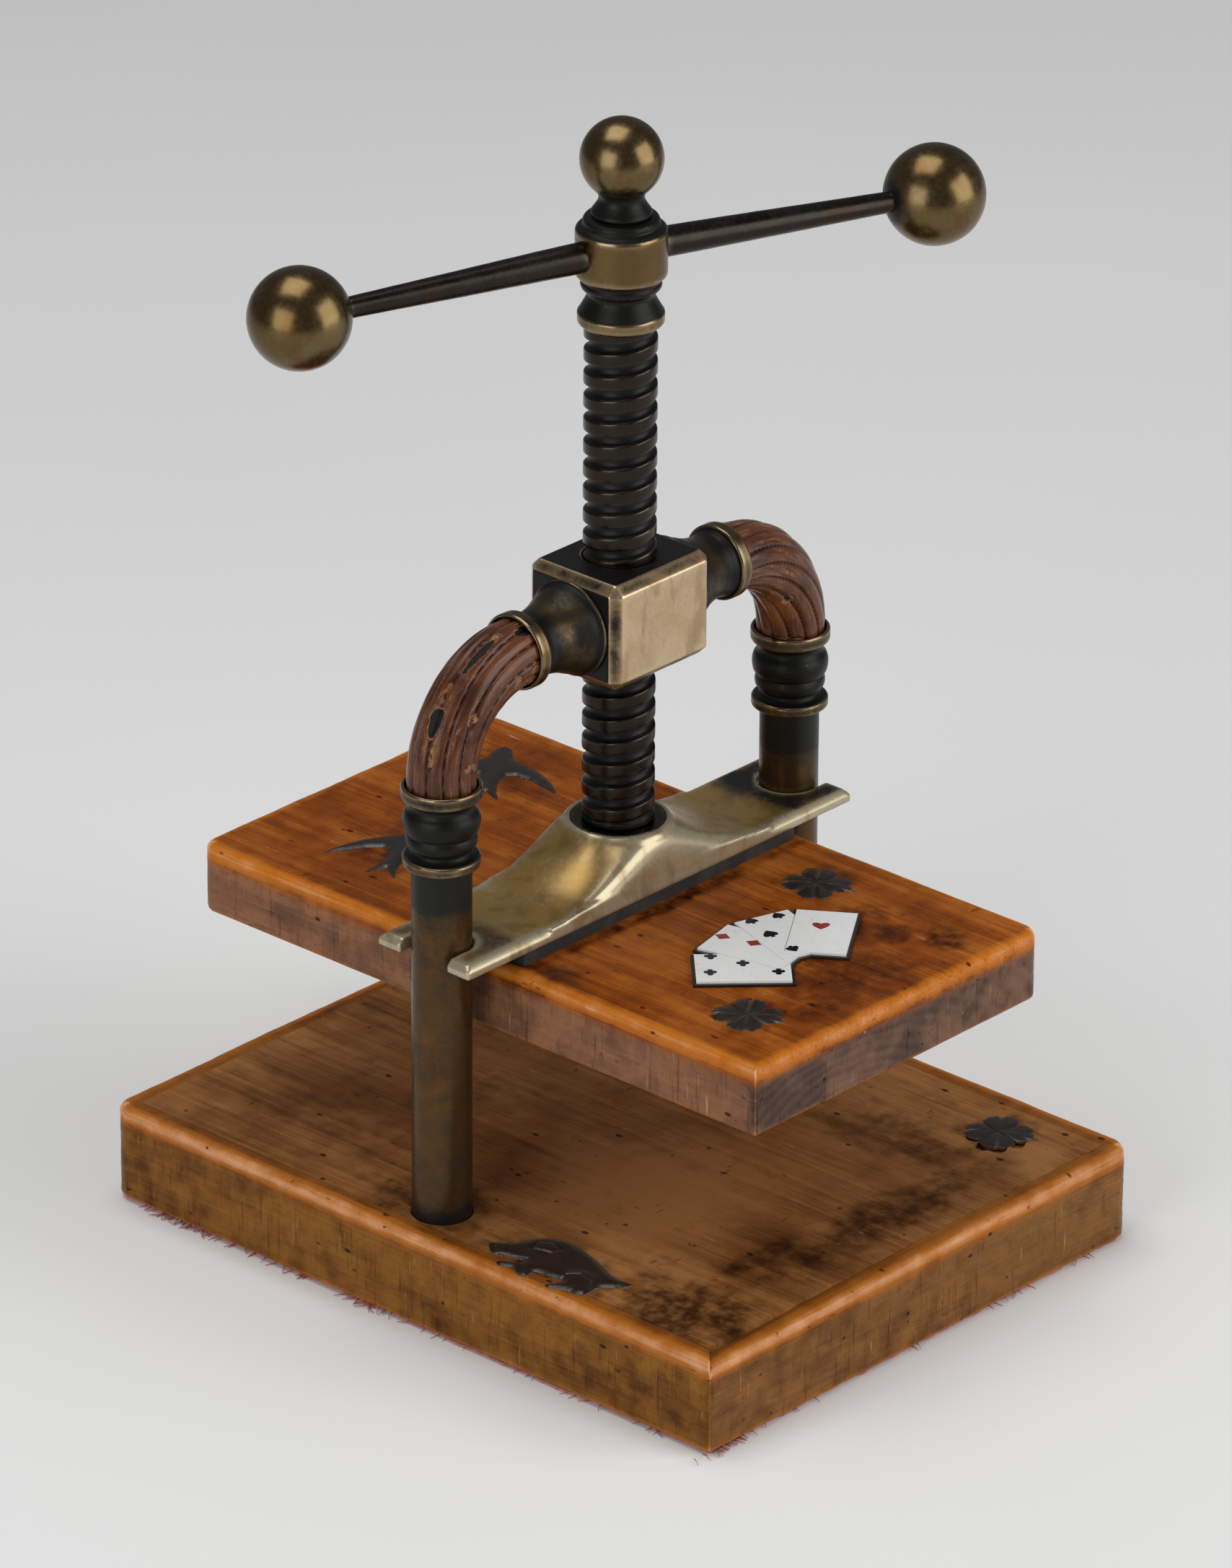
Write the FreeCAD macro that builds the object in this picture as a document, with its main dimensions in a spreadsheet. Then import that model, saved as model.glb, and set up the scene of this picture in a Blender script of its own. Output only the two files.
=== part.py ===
import FreeCAD, Part
import math
import os
import Sketcher

# Playing card press: a base board on baize carries two brass columns, whose elbows hold a
# threaded nut block high over the middle. A square-thread screw runs through the nut and
# ends in a brass bridge, which is bolted to the pressing board and slides on both columns.
# X runs across the two columns, Y along the boards (front at -Y), Z up from the baize.

Vector = FreeCAD.Vector

# Driving sizes in millimetres and degrees: alias, value, meaning.
SIZES = [
    ("column_spacing", 136.0, "distance between the two column axes"),
    ("column_diameter", 16.0, "outside of a column"),
    ("column_height", 101.6, "base top to the underside of the collar"),
    ("column_socket_depth", 14.0, "full-width part of the column let into the base"),
    ("stud_diameter", 8.0, "threaded stud under each column"),
    ("tenon_diameter", 10.0, "column tenon inside the collar and the elbow core"),
    ("tenon_rise", 6.0, "tenon inside the elbow core"),
    ("fork_clearance", 0.3, "bridge fork and base socket to column, each side"),
    ("fit_clearance", 0.1, "between turned pieces that are assembled for good"),
    ("running_clearance", 0.2, "between turned pieces that turn on each other"),
    ("base_margin_left", 15.0, "left column axis to the left edge of the base"),
    ("base_margin_right", 18.4, "right column axis to the right edge of the base"),
    ("base_length", 217.0, "base along Y"),
    ("board_thickness", 26.4, "wood of the base"),
    ("baize_thickness", 1.2, "baize under the base"),
    ("baize_inset", 1.0, "baize edge inside the wood's edge"),
    ("strip_width", 6.0, "mitred edge strip of the base, seen from above"),
    ("base_round", 5.2, "rounding of the base's top edge"),
    ("base_corner_round", 6.4, "upright rounding of the base's corners but the left front one"),
    ("foot_bore_diameter", 17.2, "counterbore for nut and washer under each column"),
    ("foot_bore_depth", 8.0, "depth of that counterbore"),
    ("washer_diameter", 16.0, "washer under each column"),
    ("washer_thickness", 1.4, "washer under each column"),
    ("foot_nut_flats", 12.6, "hexagon nut under each column, across flats"),
    ("foot_nut_height", 4.2, "hexagon nut under each column"),
    ("collar_height", 22.9, "turned collar, from its lowest ring to the cup's lip"),
    ("collar_ring_diameter", 20.6, "lowest ring of the collar"),
    ("collar_ring_height", 2.9, "lowest ring of the collar"),
    ("collar_neck_diameter", 15.2, "neck of the collar over its lowest ring"),
    ("collar_groove_diameter", 17.6, "grooves beside the collar's beads"),
    ("collar_cove_height", 1.0, "slope from the neck out to the lower bead"),
    ("collar_upper_gap", 2.9, "slope from the upper bead to the cup's lip"),
    ("low_bead_diameter", 18.8, "lower bead of the collar"),
    ("low_bead_height", 4.2, "lower bead of the collar"),
    ("high_bead_diameter", 20.4, "upper bead of the collar"),
    ("high_bead_height", 7.4, "upper bead of the collar"),
    ("cup_diameter", 21.4, "cup that holds the foot of the elbow"),
    ("cup_lip_height", 3.0, "outer band of the cup"),
    ("cup_depth", 2.6, "recess of the cup"),
    ("elbow_radius", 27.2, "bend of the elbow, at its centre line"),
    ("elbow_foot", 0.9, "straight part of the elbow over the cup's lip"),
    ("sleeve_diameter", 18.8, "carved wooden sleeve of the elbow"),
    ("core_diameter", 13.2, "metal core of the elbow"),
    ("boss_ring_diameter", 21.0, "outer ring of the boss on the nut block"),
    ("boss_ring_width", 3.2, "outer ring of the boss on the nut block"),
    ("boss_waist_diameter", 17.6, "narrowest part of the boss"),
    ("boss_flange_diameter", 26.0, "foot of the boss against the block"),
    ("boss_flange_width", 1.4, "foot of the boss against the block"),
    ("boss_spigot_diameter", 12.0, "spigot of the boss in the block"),
    ("boss_spigot_depth", 5.5, "spigot of the boss in the block"),
    ("nut_width", 37.8, "nut block along X"),
    ("nut_depth", 32.2, "nut block along Y"),
    ("nut_height", 29.8, "nut block along Z"),
    ("nut_bevel", 2.6, "bevel on the edges of the nut block"),
    ("screw_diameter", 19.4, "crest of the square thread"),
    ("thread_depth", 1.5, "crest to root"),
    ("thread_pitch", 6.5, "one turn of the single-start thread"),
    ("thread_land", 3.2, "width of the thread's crest"),
    ("thread_clearance", 0.28, "thread to nut, on crest, root and flanks"),
    ("screw_foot_diameter", 18.4, "foot of the screw under the keeper"),
    ("screw_neck_diameter", 13.2, "neck of the screw inside the keeper"),
    ("screw_plain", 1.6, "plain shoulder of the screw over the keeper"),
    ("screw_tenon_diameter", 13.0, "tenon of the screw in the head"),
    ("screw_tenon_gap", 6.0, "top of that tenon below the handle's axis"),
    ("handle_rise", 128.8, "collar cup's lip to the handle's axis"),
    ("head_collar_diameter", 23.0, "lowest ring of the head"),
    ("head_collar_drop", 20.4, "underside of the head below the handle's axis"),
    ("head_collar_height", 3.7, "lowest ring of the head"),
    ("head_waist_diameter", 17.6, "waist of the head"),
    ("head_waist_drop", 11.6, "waist of the head below the handle's axis"),
    ("head_step_diameter", 21.4, "step under the barrel of the head"),
    ("barrel_diameter", 24.0, "barrel that holds the handle"),
    ("barrel_half_height", 6.7, "half of the barrel"),
    ("head_top_diameter", 20.0, "step over the barrel of the head"),
    ("head_top_height", 3.0, "step over the barrel of the head"),
    ("finial_bead_diameter", 16.0, "bead at the foot of the finial"),
    ("finial_bead_height", 3.2, "bead at the foot of the finial"),
    ("finial_neck_diameter", 11.8, "neck of the finial"),
    ("finial_diameter", 22.0, "ball of the finial"),
    ("finial_rise", 25.2, "centre of the finial's ball over the handle's axis"),
    ("finial_spigot_diameter", 6.0, "spigot of the finial in the head"),
    ("finial_spigot_depth", 5.0, "spigot of the finial in the head"),
    ("handle_turn", -19.9, "handle seen from above, turned from X"),
    ("handle_droop", 1.1, "each handle arm drops outwards"),
    ("handle_reach", 92.5, "screw axis to the centre of a handle ball"),
    ("handle_ball_diameter", 27.2, "ball at the end of the handle"),
    ("arm_root_diameter", 8.2, "handle arm at the head"),
    ("arm_tip_diameter", 5.6, "handle arm at the ball"),
    ("arm_tenon_diameter", 4.4, "tenons at both ends of an arm"),
    ("arm_tenon_length", 5.5, "tenons at both ends of an arm"),
    ("press_opening", 51.9, "base top to the underside of the pressing board"),
    ("platen_clearance", 3.35, "pressing board to column, each side"),
    ("platen_length", 199.4, "pressing board along Y"),
    ("platen_thickness", 19.6, "pressing board"),
    ("platen_round", 5.0, "rounding of the pressing board's top edge"),
    ("platen_corner_round", 5.6, "upright rounding of the board's corners but the left front one"),
    ("shim_thickness", 3.5, "dark shim between pressing board and bridge"),
    ("shim_inset", 0.8, "shim inside the bridge's edge, each side"),
    ("shim_end_inset", 3.6, "shim short of the pressing board's edge"),
    ("bridge_tip", 7.2, "fork tips beyond the column axes"),
    ("bridge_depth", 32.4, "bridge along Y"),
    ("bridge_thickness", 4.0, "bridge at its forks"),
    ("bridge_bevel", 1.6, "bevel on the bridge's top edge"),
    ("hump_height", 17.0, "top of the bridge's hump over its underside"),
    ("hump_top_diameter", 27.4, "flat top of the hump"),
    ("hump_reach", 46.0, "screw axis to where the hump runs out"),
    ("keeper_diameter", 25.2, "split keeper ring in the hump"),
    ("keeper_thickness", 3.2, "split keeper ring in the hump"),
    ("keeper_recess", 0.3, "keeper below the hump's top"),
    ("keeper_split", 0.15, "gap between the keeper's halves"),
    ("thrust_pad_diameter", 18.4, "thrust pad under the screw's foot"),
    ("thrust_pad_thickness", 4.0, "thrust pad under the screw's foot"),
    ("bolt_diameter", 4.0, "bolts through the pressing board into the bridge"),
    ("bolt_head_diameter", 7.4, "heads of those bolts"),
    ("bolt_head_height", 2.4, "heads of those bolts"),
    ("bolt_head_recess", 0.8, "those heads above the board's underside"),
    ("bolt_reach", 3.0, "bolts inside the bridge"),
    ("bolt_offset_across", 32.0, "bolts from the screw axis along X"),
    ("bolt_offset_along", 10.0, "bolts from the screw axis along Y"),
    ("inlay_depth", 1.4, "inlays let into the boards"),
    ("inlay_rise", 0.5, "inlays over the boards"),
    ("clover_radius", 9.4, "four-leaf clover, centre to leaf tip"),
    ("clover_stem_length", 9.4, "four-leaf clover, centre to stem's end"),
    ("clover_stem_width", 1.3, "stem of the clover"),
    ("swallow_length", 35.0, "swallow, beak to tail"),
    ("pig_length", 44.4, "pig, snout to tail"),
    ("base_clover_inset", 19.6, "middle of the base's clover from its right edge"),
    ("base_clover_ahead", 30.9, "middle of the base's clover from its front edge"),
    ("pig_inset", 12.0, "middle of the pig from the base's left edge"),
    ("pig_ahead", 43.2, "middle of the pig before the columns"),
    ("front_clover_inset", 22.55, "front clover from the pressing board's left edge"),
    ("front_clover_ahead", 22.3, "front clover from the pressing board's front edge"),
    ("back_clover_inset", 19.25, "back clover from the pressing board's right edge"),
    ("back_clover_ahead", 62.1, "back clover from the pressing board's front edge"),
    ("right_swallow_inset", 28.25, "right swallow from the pressing board's right edge"),
    ("right_swallow_behind", 28.3, "right swallow from the pressing board's back edge"),
    ("left_swallow_inset", 33.25, "left swallow from the pressing board's left edge"),
    ("left_swallow_behind", 43.9, "left swallow from the pressing board's back edge"),
    ("fan_ahead", 43.0, "upper edge of the fan of cards before the screw"),
    ("card_width", 16.2, "small enamel card"),
    ("card_height", 25.0, "small enamel card"),
    ("card_thickness", 0.6, "small enamel card"),
    ("card_joint", 0.15, "gap between neighbouring cards"),
    ("card_border", 0.9, "black plate showing round the cards"),
    ("card_plate_rise", 0.8, "black plate over the pressing board"),
]

LEFT = -1
RIGHT = 1


class Size:
    """A length that carries its number and its formula in the sheet's words."""

    def __init__(self, value, formula):
        self.value = value
        self.formula = formula

    def __add__(self, other):
        other = as_size(other)
        return Size(self.value + other.value, f"({self.formula} + {other.formula})")

    def __radd__(self, other):
        return as_size(other) + self

    def __sub__(self, other):
        other = as_size(other)
        return Size(self.value - other.value, f"({self.formula} - {other.formula})")

    def __rsub__(self, other):
        return as_size(other) - self

    def __mul__(self, other):
        other = as_size(other)
        return Size(self.value * other.value, f"({self.formula} * {other.formula})")

    def __rmul__(self, other):
        return as_size(other) * self

    def __truediv__(self, other):
        other = as_size(other)
        return Size(self.value / other.value, f"({self.formula} / {other.formula})")

    def __neg__(self):
        return Size(-self.value, f"(0 - {self.formula})")


def as_size(item):
    """The item itself if it is a Size, or a plain number as one."""
    if isinstance(item, Size):
        return item
    return Size(float(item), repr(float(item)))


def write_sheet(doc):
    """Put every driving size in the sheet and return them by alias."""
    sheet = doc.addObject("Spreadsheet::Sheet", "Sizes")
    cells = {}
    for row, (alias, value, meaning) in enumerate(SIZES, start=1):
        sheet.set(f"A{row}", meaning)
        sheet.set(f"B{row}", str(value))
        sheet.setAlias(f"B{row}", alias)
    doc.recompute()
    for alias, value, meaning in SIZES:
        cells[alias] = Size(float(sheet.get(alias)), f"Sizes.{alias}")
    return cells


def bind(item, prop, size):
    """Tie one property of an object to the sheet."""
    size = as_size(size)
    item.setExpression(prop, size.formula)


def place(item, x=0, y=0, z=0, rotation=None):
    """Tie an object's place to the sheet and turn it."""
    if rotation is not None:
        item.Placement = FreeCAD.Placement(Vector(), rotation)
    for axis, size in (("x", x), ("y", y), ("z", z)):
        bind(item, f"Placement.Base.{axis}", size)


def arc_centre(start, end, radius):
    """Centre of an arc from start to end; a positive radius bulges to the right of the way."""
    half = (end - start) * 0.5
    height = math.sqrt(max(radius * radius - half.Length ** 2, 0.0))
    side = Vector(half.y, -half.x, 0).normalize() * (1 if radius > 0 else -1)
    centre = start + half - side * height
    return centre


def add_outline(sketch, points, arcs):
    """Closed outline with every corner tied to the sheet; arcs maps an edge to its radius."""
    count = len(points)
    corners = [Vector(as_size(a).value, as_size(b).value, 0) for a, b in points]
    first = sketch.GeometryCount
    ends = []
    for index in range(count):
        start = corners[index]
        end = corners[(index + 1) % count]
        if index not in arcs:
            sketch.addGeometry(Part.LineSegment(start, end))
            ends.append((1, 2))
            continue
        radius = as_size(arcs[index])
        centre = arc_centre(start, end, radius.value)
        begin = math.atan2(start.y - centre.y, start.x - centre.x)
        finish = math.atan2(end.y - centre.y, end.x - centre.x)
        circle = Part.Circle(centre, Vector(0, 0, 1), abs(radius.value))
        if radius.value > 0:
            sketch.addGeometry(Part.ArcOfCircle(circle, begin, finish))
            ends.append((1, 2))
        else:
            sketch.addGeometry(Part.ArcOfCircle(circle, finish, begin))
            ends.append((2, 1))
    for index in range(count):
        after = (index + 1) % count
        sketch.addConstraint(Sketcher.Constraint(
            "Coincident", first + index, ends[index][1], first + after, ends[after][0]))
    for index, (across, along) in enumerate(points):
        pin_corner(sketch, first + index, ends[index][0], as_size(across), as_size(along))
    for index, radius in arcs.items():
        radius = as_size(radius)
        if radius.value < 0:
            radius = -radius
        row = sketch.addConstraint(Sketcher.Constraint("Radius", first + index, radius.value))
        sketch.setExpression(f"Constraints[{row}]", radius.formula)


def pin_corner(sketch, edge, end, across, along):
    """Tie one corner's two coordinates, or lay it on an axis where it is zero."""
    for kind, size, axis in (("DistanceX", across, -2), ("DistanceY", along, -1)):
        if size.value == 0.0:
            sketch.addConstraint(Sketcher.Constraint("PointOnObject", edge, end, axis))
            continue
        row = sketch.addConstraint(Sketcher.Constraint(kind, -1, 1, edge, end, size.value))
        sketch.setExpression(f"Constraints[{row}]", size.formula)


def add_circle(sketch, x, y, diameter):
    """Circle with its centre and diameter tied to the sheet."""
    centre = Vector(as_size(x).value, as_size(y).value, 0)
    edge = sketch.addGeometry(Part.Circle(centre, Vector(0, 0, 1), as_size(diameter).value / 2))
    pin_corner(sketch, edge, 3, as_size(x), as_size(y))
    row = sketch.addConstraint(Sketcher.Constraint("Diameter", edge, as_size(diameter).value))
    sketch.setExpression(f"Constraints[{row}]", as_size(diameter).formula)


def new_sketch(body, name, role, lift=None):
    """Sketch on one of the body's own origin planes, lifted off it by a size."""
    plane = [item for item in body.Origin.OriginFeatures if item.Role == role][0]
    sketch = body.newObject("Sketcher::SketchObject", name)
    sketch.AttachmentSupport = (plane, [""])
    sketch.MapMode = "FlatFace"
    if lift is not None:
        bind(sketch, "AttachmentOffset.Base.z", lift)
    return sketch


def turned(doc, name, points, arcs=None):
    """Body turned about Z from an outline of (radius, height) points."""
    body = doc.addObject("PartDesign::Body", name)
    sketch = new_sketch(body, f"{name}_outline", "XZ_Plane")
    add_outline(sketch, points, arcs or {})
    turn = body.newObject("PartDesign::Revolution", f"{name}_turned")
    turn.Profile = sketch
    turn.ReferenceAxis = (sketch, ["V_Axis"])
    body.Tip = turn
    return body


def padded(doc, name, points, bottom, height, circles=()):
    """Body raised from an outline of (x, y) points, or from circles."""
    body = doc.addObject("PartDesign::Body", name)
    sketch = new_sketch(body, f"{name}_outline", "XY_Plane", bottom)
    if points:
        add_outline(sketch, points, {})
    for x, y, diameter in circles:
        add_circle(sketch, x, y, diameter)
    pad = body.newObject("PartDesign::Pad", f"{name}_pad")
    pad.Profile = sketch
    bind(pad, "Length", height)
    body.Tip = pad
    return body


def dress_edges(doc, body, kind, size, wanted):
    """Fillet or Chamfer on the tip's edges that the test picks."""
    doc.recompute()
    base = body.Tip
    names = []
    for number, edge in enumerate(base.Shape.Edges, start=1):
        if wanted(edge):
            names.append(f"Edge{number}")
    feature = body.newObject(f"PartDesign::{kind}", f"{body.Name}_{kind.lower()}_{len(body.Group)}")
    feature.Base = (base, names)
    bind(feature, "Radius" if kind == "Fillet" else "Size", size)
    body.Tip = feature


def is_upright(edge):
    """Whether an edge stands along Z."""
    return edge.BoundBox.ZLength > edge.Length - 1e-6


def is_over(edge, x, y):
    """Whether an edge's middle lies over a point of a board."""
    middle = edge.CenterOfMass
    return abs(middle.x - x) < 1e-3 and abs(middle.y - y) < 1e-3


def rod(doc, name, diameter, bottom, top, x=0, y=0):
    """Upright cylinder between two heights."""
    cylinder = doc.addObject("Part::Cylinder", name)
    bind(cylinder, "Radius", as_size(diameter) / 2)
    bind(cylinder, "Height", as_size(top) - as_size(bottom))
    place(cylinder, x, y, bottom)
    return cylinder


def block(doc, name, low, high):
    """Box between two corners."""
    box = doc.addObject("Part::Box", name)
    for prop, first, last in zip(("Length", "Width", "Height"), low, high):
        bind(box, prop, as_size(last) - as_size(first))
    place(box, *low)
    return box


def join(doc, name, parts):
    """Union of several objects."""
    fuse = doc.addObject("Part::MultiFuse", name)
    fuse.Shapes = parts
    return fuse


def cut_from(doc, name, base, tools):
    """The base with all the tools cut out of it."""
    cut = doc.addObject("Part::Cut", name)
    cut.Base = base
    cut.Tool = tools[0] if len(tools) == 1 else join(doc, f"{name}_tools", tools)
    return cut


def bead_radius(height, bulge):
    """Radius of a bead that stands out by bulge over a chord of the given height."""
    return (height * height / 4 + bulge * bulge) / (bulge * 2)


def cut_corners(points):
    """Closed outline with each corner taken off at a quarter of its edges."""
    softer = []
    for index, point in enumerate(points):
        after = points[(index + 1) % len(points)]
        softer.append(point * 0.75 + after * 0.25)
        softer.append(point * 0.25 + after * 0.75)
    return softer


class Press:
    """The press, with the heights and places that its pieces share."""

    def __init__(self, doc, cells):
        self.doc = doc
        self.cells = cells
        c = cells
        self.column_x = c["column_spacing"] / 2
        self.base_top = c["baize_thickness"] + c["board_thickness"]
        self.collar_z = self.base_top + c["column_height"]
        self.cup_lip_z = self.collar_z + c["collar_height"]
        self.cup_floor_z = self.cup_lip_z - c["cup_depth"]
        self.bend_z = self.cup_lip_z + c["elbow_foot"]
        self.nut_z = self.bend_z + c["elbow_radius"]
        self.handle_z = self.cup_lip_z + c["handle_rise"]
        self.platen_z = self.base_top + c["press_opening"]
        self.platen_top = self.platen_z + c["platen_thickness"]
        self.bridge_z = self.platen_top + c["shim_thickness"]
        self.hump_top = self.bridge_z + c["hump_height"]
        self.keeper_top = self.hump_top - c["keeper_recess"]
        self.keeper_z = self.keeper_top - c["keeper_thickness"]
        self.platen_half = self.column_x - c["column_diameter"] / 2 - c["platen_clearance"]
        self.base_left = self.column_x + c["base_margin_left"]
        self.base_right = self.column_x + c["base_margin_right"]
        self.base_half = c["base_length"] / 2
        self.elbow_end_x = self.column_x - c["elbow_radius"]
        self.pieces = {}

    def keep(self, node, item):
        """Take a finished piece under its node's name."""
        item.Label = node
        self.pieces[node] = item
        return item

    # Base

    def foot_holes(self, side):
        """Socket, stud hole and counterbore of one column."""
        c = self.cells
        word = "left" if side == LEFT else "right"
        x = self.column_x * side
        clear = c["fork_clearance"] * 2
        shoulder = self.base_top - c["column_socket_depth"]
        floor = c["baize_thickness"] + c["foot_bore_depth"]
        socket = rod(self.doc, f"socket_{word}", c["column_diameter"] + clear, shoulder,
                     self.base_top + 1, x)
        stud = rod(self.doc, f"stud_hole_{word}", c["stud_diameter"] + clear, 0, self.base_top, x)
        bore = rod(self.doc, f"foot_bore_{word}", c["foot_bore_diameter"], 0, floor, x)
        return join(self.doc, f"foot_holes_{word}", [socket, stud, bore])

    def make_base(self):
        """Panel, four mitred edge strips and the baize."""
        c = self.cells
        doc = self.doc
        bottom = c["baize_thickness"]
        width = c["strip_width"]
        left, right, half = self.base_left, self.base_right, self.base_half
        inner = [(width - left, width - half), (right - width, width - half),
                 (right - width, half - width), (width - left, half - width)]
        outer = [(-left, -half), (right, -half), (right, half), (-left, half)]
        holes = [self.foot_holes(LEFT), self.foot_holes(RIGHT)]
        panel = padded(doc, "panel_blank", inner, bottom, c["board_thickness"])
        pig = self.pig()
        clover = self.clover("base_clover_inlay", self.base_top, right - c["base_clover_inset"],
                             c["base_clover_ahead"] - half, 0.0)
        self.keep("base_panel", cut_from(doc, "panel", panel, holes + [pig, clover]))
        envelope = padded(doc, "base_envelope", outer, bottom, c["board_thickness"])
        sharp_x = -self.base_left.value
        sharp_y = -self.base_half.value
        dress_edges(doc, envelope, "Fillet", c["base_corner_round"],
                    lambda edge: is_upright(edge) and not is_over(edge, sharp_x, sharp_y))
        level = self.base_top.value
        dress_edges(doc, envelope, "Fillet", c["base_round"],
                    lambda edge: edge.BoundBox.ZMin > level - 1e-6)
        for index, word in enumerate(("front", "right", "back", "left")):
            after = (index + 1) % 4
            points = [outer[index], outer[after], inner[after], inner[index]]
            blank = padded(doc, f"strip_{word}_blank", points, bottom, c["board_thickness"])
            strip = doc.addObject("Part::Common", f"strip_{word}_rounded")
            strip.Base = blank
            strip.Tool = envelope
            node = f"base_strip_{word}"
            if word == "left":
                strip = cut_from(doc, "strip_left", strip, [holes[0], pig])
            if word == "right":
                strip = cut_from(doc, "strip_right", strip, [holes[1]])
            self.keep(node, strip)
        inset = c["baize_inset"]
        cloth = [(inset - left, inset - half), (right - inset, inset - half),
                 (right - inset, half - inset), (inset - left, half - inset)]
        self.keep("base_baize", padded(doc, "baize", cloth, 0, c["baize_thickness"]))

    # Columns

    def make_columns(self):
        """Columns with their feet, collars, elbows and bosses."""
        c = self.cells
        for side, word in ((LEFT, "left"), (RIGHT, "right")):
            self.make_column(side, word)
            self.make_collar(side, word)
            self.make_elbow(side, word)
            self.make_boss(side, word)
        doc = self.doc
        floor = c["baize_thickness"] + c["foot_bore_depth"]
        washer_z = floor - c["washer_thickness"]
        nut_z = washer_z - c["foot_nut_height"]
        washers = []
        nuts = []
        hole = c["stud_diameter"] + c["fit_clearance"] * 2
        for side, word in ((LEFT, "left"), (RIGHT, "right")):
            x = self.column_x * side
            disc = rod(doc, f"washer_disc_{word}", c["washer_diameter"], washer_z, floor, x)
            bore = rod(doc, f"washer_bore_{word}", hole, washer_z - 1, floor + 1, x)
            washers.append(cut_from(doc, f"washer_{word}", disc, [bore]))
            hexagon = doc.addObject("Part::Prism", f"nut_hexagon_{word}")
            hexagon.Polygon = 6
            bind(hexagon, "Circumradius", c["foot_nut_flats"] / math.sqrt(3))
            bind(hexagon, "Height", c["foot_nut_height"])
            place(hexagon, x, 0, nut_z)
            thread = rod(doc, f"foot_nut_bore_{word}", hole, nut_z - 1, washer_z + 1, x)
            nuts.append(cut_from(doc, f"foot_nut_{word}", hexagon, [thread]))
        self.keep("column_washers", self.group("washers", washers))
        self.keep("column_nuts", self.group("foot_nuts", nuts))

    def group(self, name, parts):
        """Identical pieces kept together as separate solids."""
        compound = self.doc.addObject("Part::Compound", name)
        compound.Links = parts
        return compound

    def make_column(self, side, word):
        """Column with a stud below and a tenon above."""
        c = self.cells
        stud = c["stud_diameter"] / 2
        shaft = c["column_diameter"] / 2
        tenon = c["tenon_diameter"] / 2
        low = c["baize_thickness"] + c["foot_bore_depth"] - c["washer_thickness"] \
            - c["foot_nut_height"] - 0.6
        shoulder = self.base_top - c["column_socket_depth"]
        top = self.cup_floor_z + c["tenon_rise"]
        points = [(0, low), (stud, low), (stud, shoulder), (shaft, shoulder),
                  (shaft, self.collar_z), (tenon, self.collar_z), (tenon, top), (0, top)]
        column = turned(self.doc, f"column_{word}_turned_piece", points)
        place(column, self.column_x * side)
        self.keep(f"column_{word}", column)

    def make_collar(self, side, word):
        """Turned collar: ring, flare, two beads and the cup for the elbow."""
        c = self.cells
        bore = c["tenon_diameter"] / 2 + c["fit_clearance"]
        ring = c["collar_ring_diameter"] / 2
        neck = c["collar_neck_diameter"] / 2
        cup = c["cup_diameter"] / 2
        recess = c["sleeve_diameter"] / 2 + c["fit_clearance"] * 2
        groove = c["collar_groove_diameter"] / 2
        low_bulge = c["low_bead_diameter"] / 2 - groove
        high_bulge = c["high_bead_diameter"] / 2 - groove
        base = self.collar_z
        ring_top = base + c["collar_ring_height"]
        lip_z = self.cup_lip_z - c["cup_lip_height"]
        high_top = lip_z - c["collar_upper_gap"]
        high_low = high_top - c["high_bead_height"]
        low_top = high_low - c["fit_clearance"] * 8
        low_low = low_top - c["low_bead_height"]
        points = [(bore, base), (ring - 0.5, base), (ring, base + 0.5), (ring, ring_top - 0.3),
                  (ring - 0.3, ring_top), (neck, low_low - c["collar_cove_height"]),
                  (groove, low_low), (groove, low_top), (groove, high_low),
                  (groove, high_top), (cup - 0.4, lip_z), (cup, lip_z + 0.4),
                  (cup, self.cup_lip_z), (recess, self.cup_lip_z), (recess, self.cup_floor_z),
                  (bore, self.cup_floor_z)]
        arcs = {6: bead_radius(c["low_bead_height"], low_bulge),
                8: bead_radius(c["high_bead_height"], high_bulge)}
        collar = turned(self.doc, f"collar_{word}", points, arcs)
        place(collar, self.column_x * side)
        self.keep(f"column_collar_{word}", collar)

    def bent(self, name, side, start_z, end_x, circles):
        """Body carried up from the cup, round the bend and in to the boss."""
        doc = self.doc
        c = self.cells
        body = doc.addObject("PartDesign::Body", name)
        x = self.column_x * side
        path = new_sketch(body, f"{name}_path", "XZ_Plane")
        corners = [(x, start_z), (x, self.bend_z), (self.elbow_end_x * side, self.nut_z),
                   (end_x * side, self.nut_z)]
        flat = [Vector(as_size(a).value, as_size(b).value, 0) for a, b in corners]
        radius = c["elbow_radius"]
        centre = Vector(flat[2].x, flat[1].y, 0)
        circle = Part.Circle(centre, Vector(0, 0, 1), radius.value)
        path.addGeometry(Part.LineSegment(flat[0], flat[1]))
        quarter = math.pi / 2
        start = quarter if side == LEFT else 0.0
        path.addGeometry(Part.ArcOfCircle(circle, start, start + quarter))
        path.addGeometry(Part.LineSegment(flat[2], flat[3]))
        near, far = (2, 1) if side == LEFT else (1, 2)
        path.addConstraint(Sketcher.Constraint("Coincident", 0, 2, 1, near))
        path.addConstraint(Sketcher.Constraint("Coincident", 1, far, 2, 1))
        pin_corner(path, 0, 1, *[as_size(item) for item in corners[0]])
        pin_corner(path, 0, 2, *[as_size(item) for item in corners[1]])
        pin_corner(path, 2, 1, *[as_size(item) for item in corners[2]])
        pin_corner(path, 2, 2, *[as_size(item) for item in corners[3]])
        row = path.addConstraint(Sketcher.Constraint("Radius", 1, radius.value))
        path.setExpression(f"Constraints[{row}]", radius.formula)
        section = new_sketch(body, f"{name}_section", "XY_Plane", start_z)
        for diameter in circles:
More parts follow.
